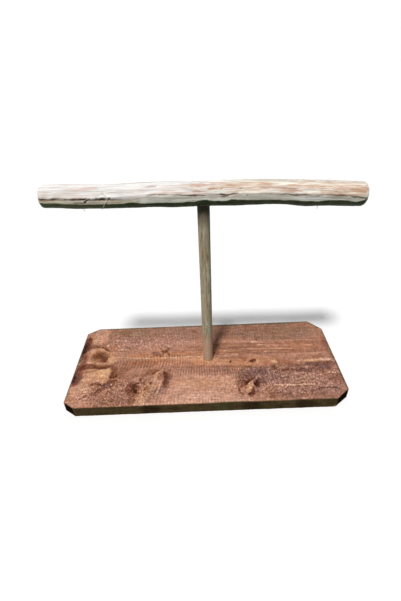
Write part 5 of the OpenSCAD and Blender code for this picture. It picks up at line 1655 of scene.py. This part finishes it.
peeled_wood = new_material("peeled_branch_wood")
tree = peeled_wood.node_tree
grain = kept(tree, "grain", "Vector")
stain = kept(tree, "stain", "Color")
bark_share = kept(tree, "bark")
ruddy_share = kept(tree, "ruddy")
long_streak = noise(tree, grain, (0.022, 0.55, 0.55), 4.0, 0.6)
thin_streak = noise(tree, grain, (0.06, 2.4, 2.4), 4.0, 0.65)
hair_line = noise(tree, grain, (0.12, 6.0, 6.0), 2.0, 0.6)
crust = noise(tree, grain, (0.7, 1.1, 1.1), 4.0, 0.65, 0.8)
tan_streak = noise(tree, grain, (0.035, 0.42, 0.42), 3.0, 0.6, 0.3)
pale_streak = noise(tree, grain, (0.05, 0.75, 0.75), 2.0, 0.6, 0.2)
dull_streak = noise(tree, grain, (0.045, 0.95, 0.95), 3.0, 0.6, 0.2)
bare = stain
for streak, low, high, strength, colour in (
    (tan_streak, 0.48, 0.59, ruddy_share, (198, 148, 112)),
    (pale_streak, 0.53, 0.62, ruddy_share, (255, 245, 230)),
    (dull_streak, 0.5, 0.66, kept(tree, "dull"), (196, 184, 174)),
):
    share = times(tree, between(tree, streak, low, high), strength)
    bare = blend(tree, share, bare, opaque(colour))
bare = shade(
    tree, bare,
    between(tree, long_streak, 0.36, 0.66, 1.09, 0.89),
    between(tree, thin_streak, 0.34, 0.68, 1.11, 0.8),
)
bare = overlaid(tree, bare, (hair_line, 0.62, 0.76, 0.28, (150, 120, 96)))
barky = shade(tree, stain, between(tree, crust, 0.3, 0.7, 0.6, 1.45))
tone = blend(tree, bark_share, bare, barky)
wood_height = weighed(tree, (thin_streak, 0.6), (hair_line, 0.4))
wood_height = times(tree, wood_height, maths(tree, "SUBTRACT", 1.0, bark_share))
crust_height = times(tree, crust, times(tree, bark_share, 2.5))
height_all = maths(tree, "ADD", wood_height, crust_height)
finish_wood(tree, tone, between(tree, long_streak, 0.2, 0.8, 0.5, 0.7), height_all, 0.16)
perch.data.materials.clear()
perch.data.materials.append(peeled_wood)
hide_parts("perch")
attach(perch, "root")


# Loose threads of the branch's inner bark: short ones lift off all over the peeled wood, and a few long
# ones hang from the knot and from the underside where the knife stopped. Each long one is given by its
# points, as how far along, the angle, how far off the skin and how far it hangs.
THREADS = (
    (
        (-84.6, 8, -0.1, 0), (-85.6, 0, 0.3, 0), (-87.2, -12, 0.6, 0), (-88.8, -24, 0.6, 0),
        (-90.6, -40, 0.5, 0), (-91.6, -50, 0.7, 0.4), (-92.0, -56, 0.7, 1.2),
    ),
    ((-110, -56, -0.1, 0), (-110.1, -60, 0.2, 0.8), (-109.8, -62, 0.3, 1.5), (-110.1, -62, 0.3, 2.3)),
    ((112.6, -56, -0.1, 0), (112.9, -60, 0.2, 0.9), (112.5, -62, 0.3, 1.6), (113.0, -62, 0.3, 2.6)),
    ((22, 176, -0.1, 0), (24, 186, 0.4, 0.5), (25.5, 196, 0.6, 2.5), (25, 200, 0.8, 5.0)),
    ((-48, 190, -0.1, 0), (-49, 198, 0.4, 0.6), (-48.6, 204, 0.5, 2.4)),
)


def thread_tree():
    """Turns drawn paths into thin threads that taper towards their ends."""
    tree, given = open_group("hanging_threads", (
        ("Paths", "Geometry"), ("Thickness", "Float"), ("Finish", "Material"),
    ), "Threads")
    path = result(tree, "GeometryNodeMeshToCurve", {"Mesh": given["Paths"]})
    return close_group(tree, thin_forms(tree, path, given["Thickness"], 0.55, 6), given["Finish"])


def off_branch(place, degree, off, drop):
    """A point so far off the branch's skin, at a place along it and an angle round it, and so far lower."""
    ring = int(np.argmin(np.abs(stations - place)))
    side = int(round(degree / 360 * PERCH_SIDES)) % PERCH_SIDES
    reach = shaped[ring, side] + off
    turn = math.radians(degree)
    return (place, centre_y[ring] - reach * math.cos(turn), centre_z[ring] + reach * math.sin(turn) - drop)


peeled_fibre = fibre_material("peeled_bark_fibre", (214, 196, 172), (246, 240, 226), 0.7)
perch_hairs = grow_fibres("perch_hairs", perch.data, fibres, {
    "Fibres in a square metre": 24000.0, "Length": 2.8 * MM, "Thickness": 0.05 * MM, "Rise": 0.32 * MM,
    "Lie": (1.0, 0.0, 0.0), "Spread": 0.45, "Seed": 11, "Finish": peeled_fibre,
})
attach(perch_hairs, "root")

path_points = []
path_edges = []
for thread in THREADS:
    knots = np.array([off_branch(*knot) for knot in thread])
    finer = np.linspace(0, len(knots) - 1, 4 * len(knots))
    start = len(path_points)
    path = [np.interp(finer, np.arange(len(knots)), knots[:, axis]) for axis in range(3)]
    path_points.extend((np.column_stack(path) * MM).tolist())
    path_edges.extend((start + step, start + step + 1) for step in range(len(finer) - 1))
thread_paths = bpy.data.meshes.new("thread_paths")
thread_paths.from_pydata(path_points, path_edges, [])
thread_sizes = {"Thickness": 0.22 * MM, "Finish": peeled_fibre}
perch_threads = grow_fibres("perch_threads", thread_paths, thread_tree(), thread_sizes)
bpy.data.meshes.remove(thread_paths)
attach(perch_threads, "root")


# The screw: a zinc-plated countersunk wood screw, driven up through the board into the dowel, with its
# cross-recess head just below the board's underside.
plated = new_material("zinc_plated_steel")
tree = plated.node_tree
where = add(tree, "ShaderNodeTexCoord").outputs["Object"]
smear = noise(tree, where, (420, 420, 420), 3.0)
scratch = noise(tree, where, (2600, 300, 900), 2.0, 0.6)
metal = blend(tree, between(tree, smear, 0.3, 0.7), opaque((208, 206, 198)), opaque((178, 174, 160)))
bump = result(tree, "ShaderNodeBump", {"Height": scratch, "Strength": 0.6, "Distance": 0.03 * MM})
surface = result(tree, "ShaderNodeBsdfPrincipled", {
    "Base Color": metal, "Metallic": 1.0, "Roughness": between(tree, smear, 0.3, 0.7, 0.28, 0.46),
    "Normal": bump,
})
add(tree, "ShaderNodeOutputMaterial", {0: surface})
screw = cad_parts["base_screw"]
if screw.material_slots:
    for place in screw.material_slots:
        place.material = plated
else:
    screw.data.materials.append(plated)
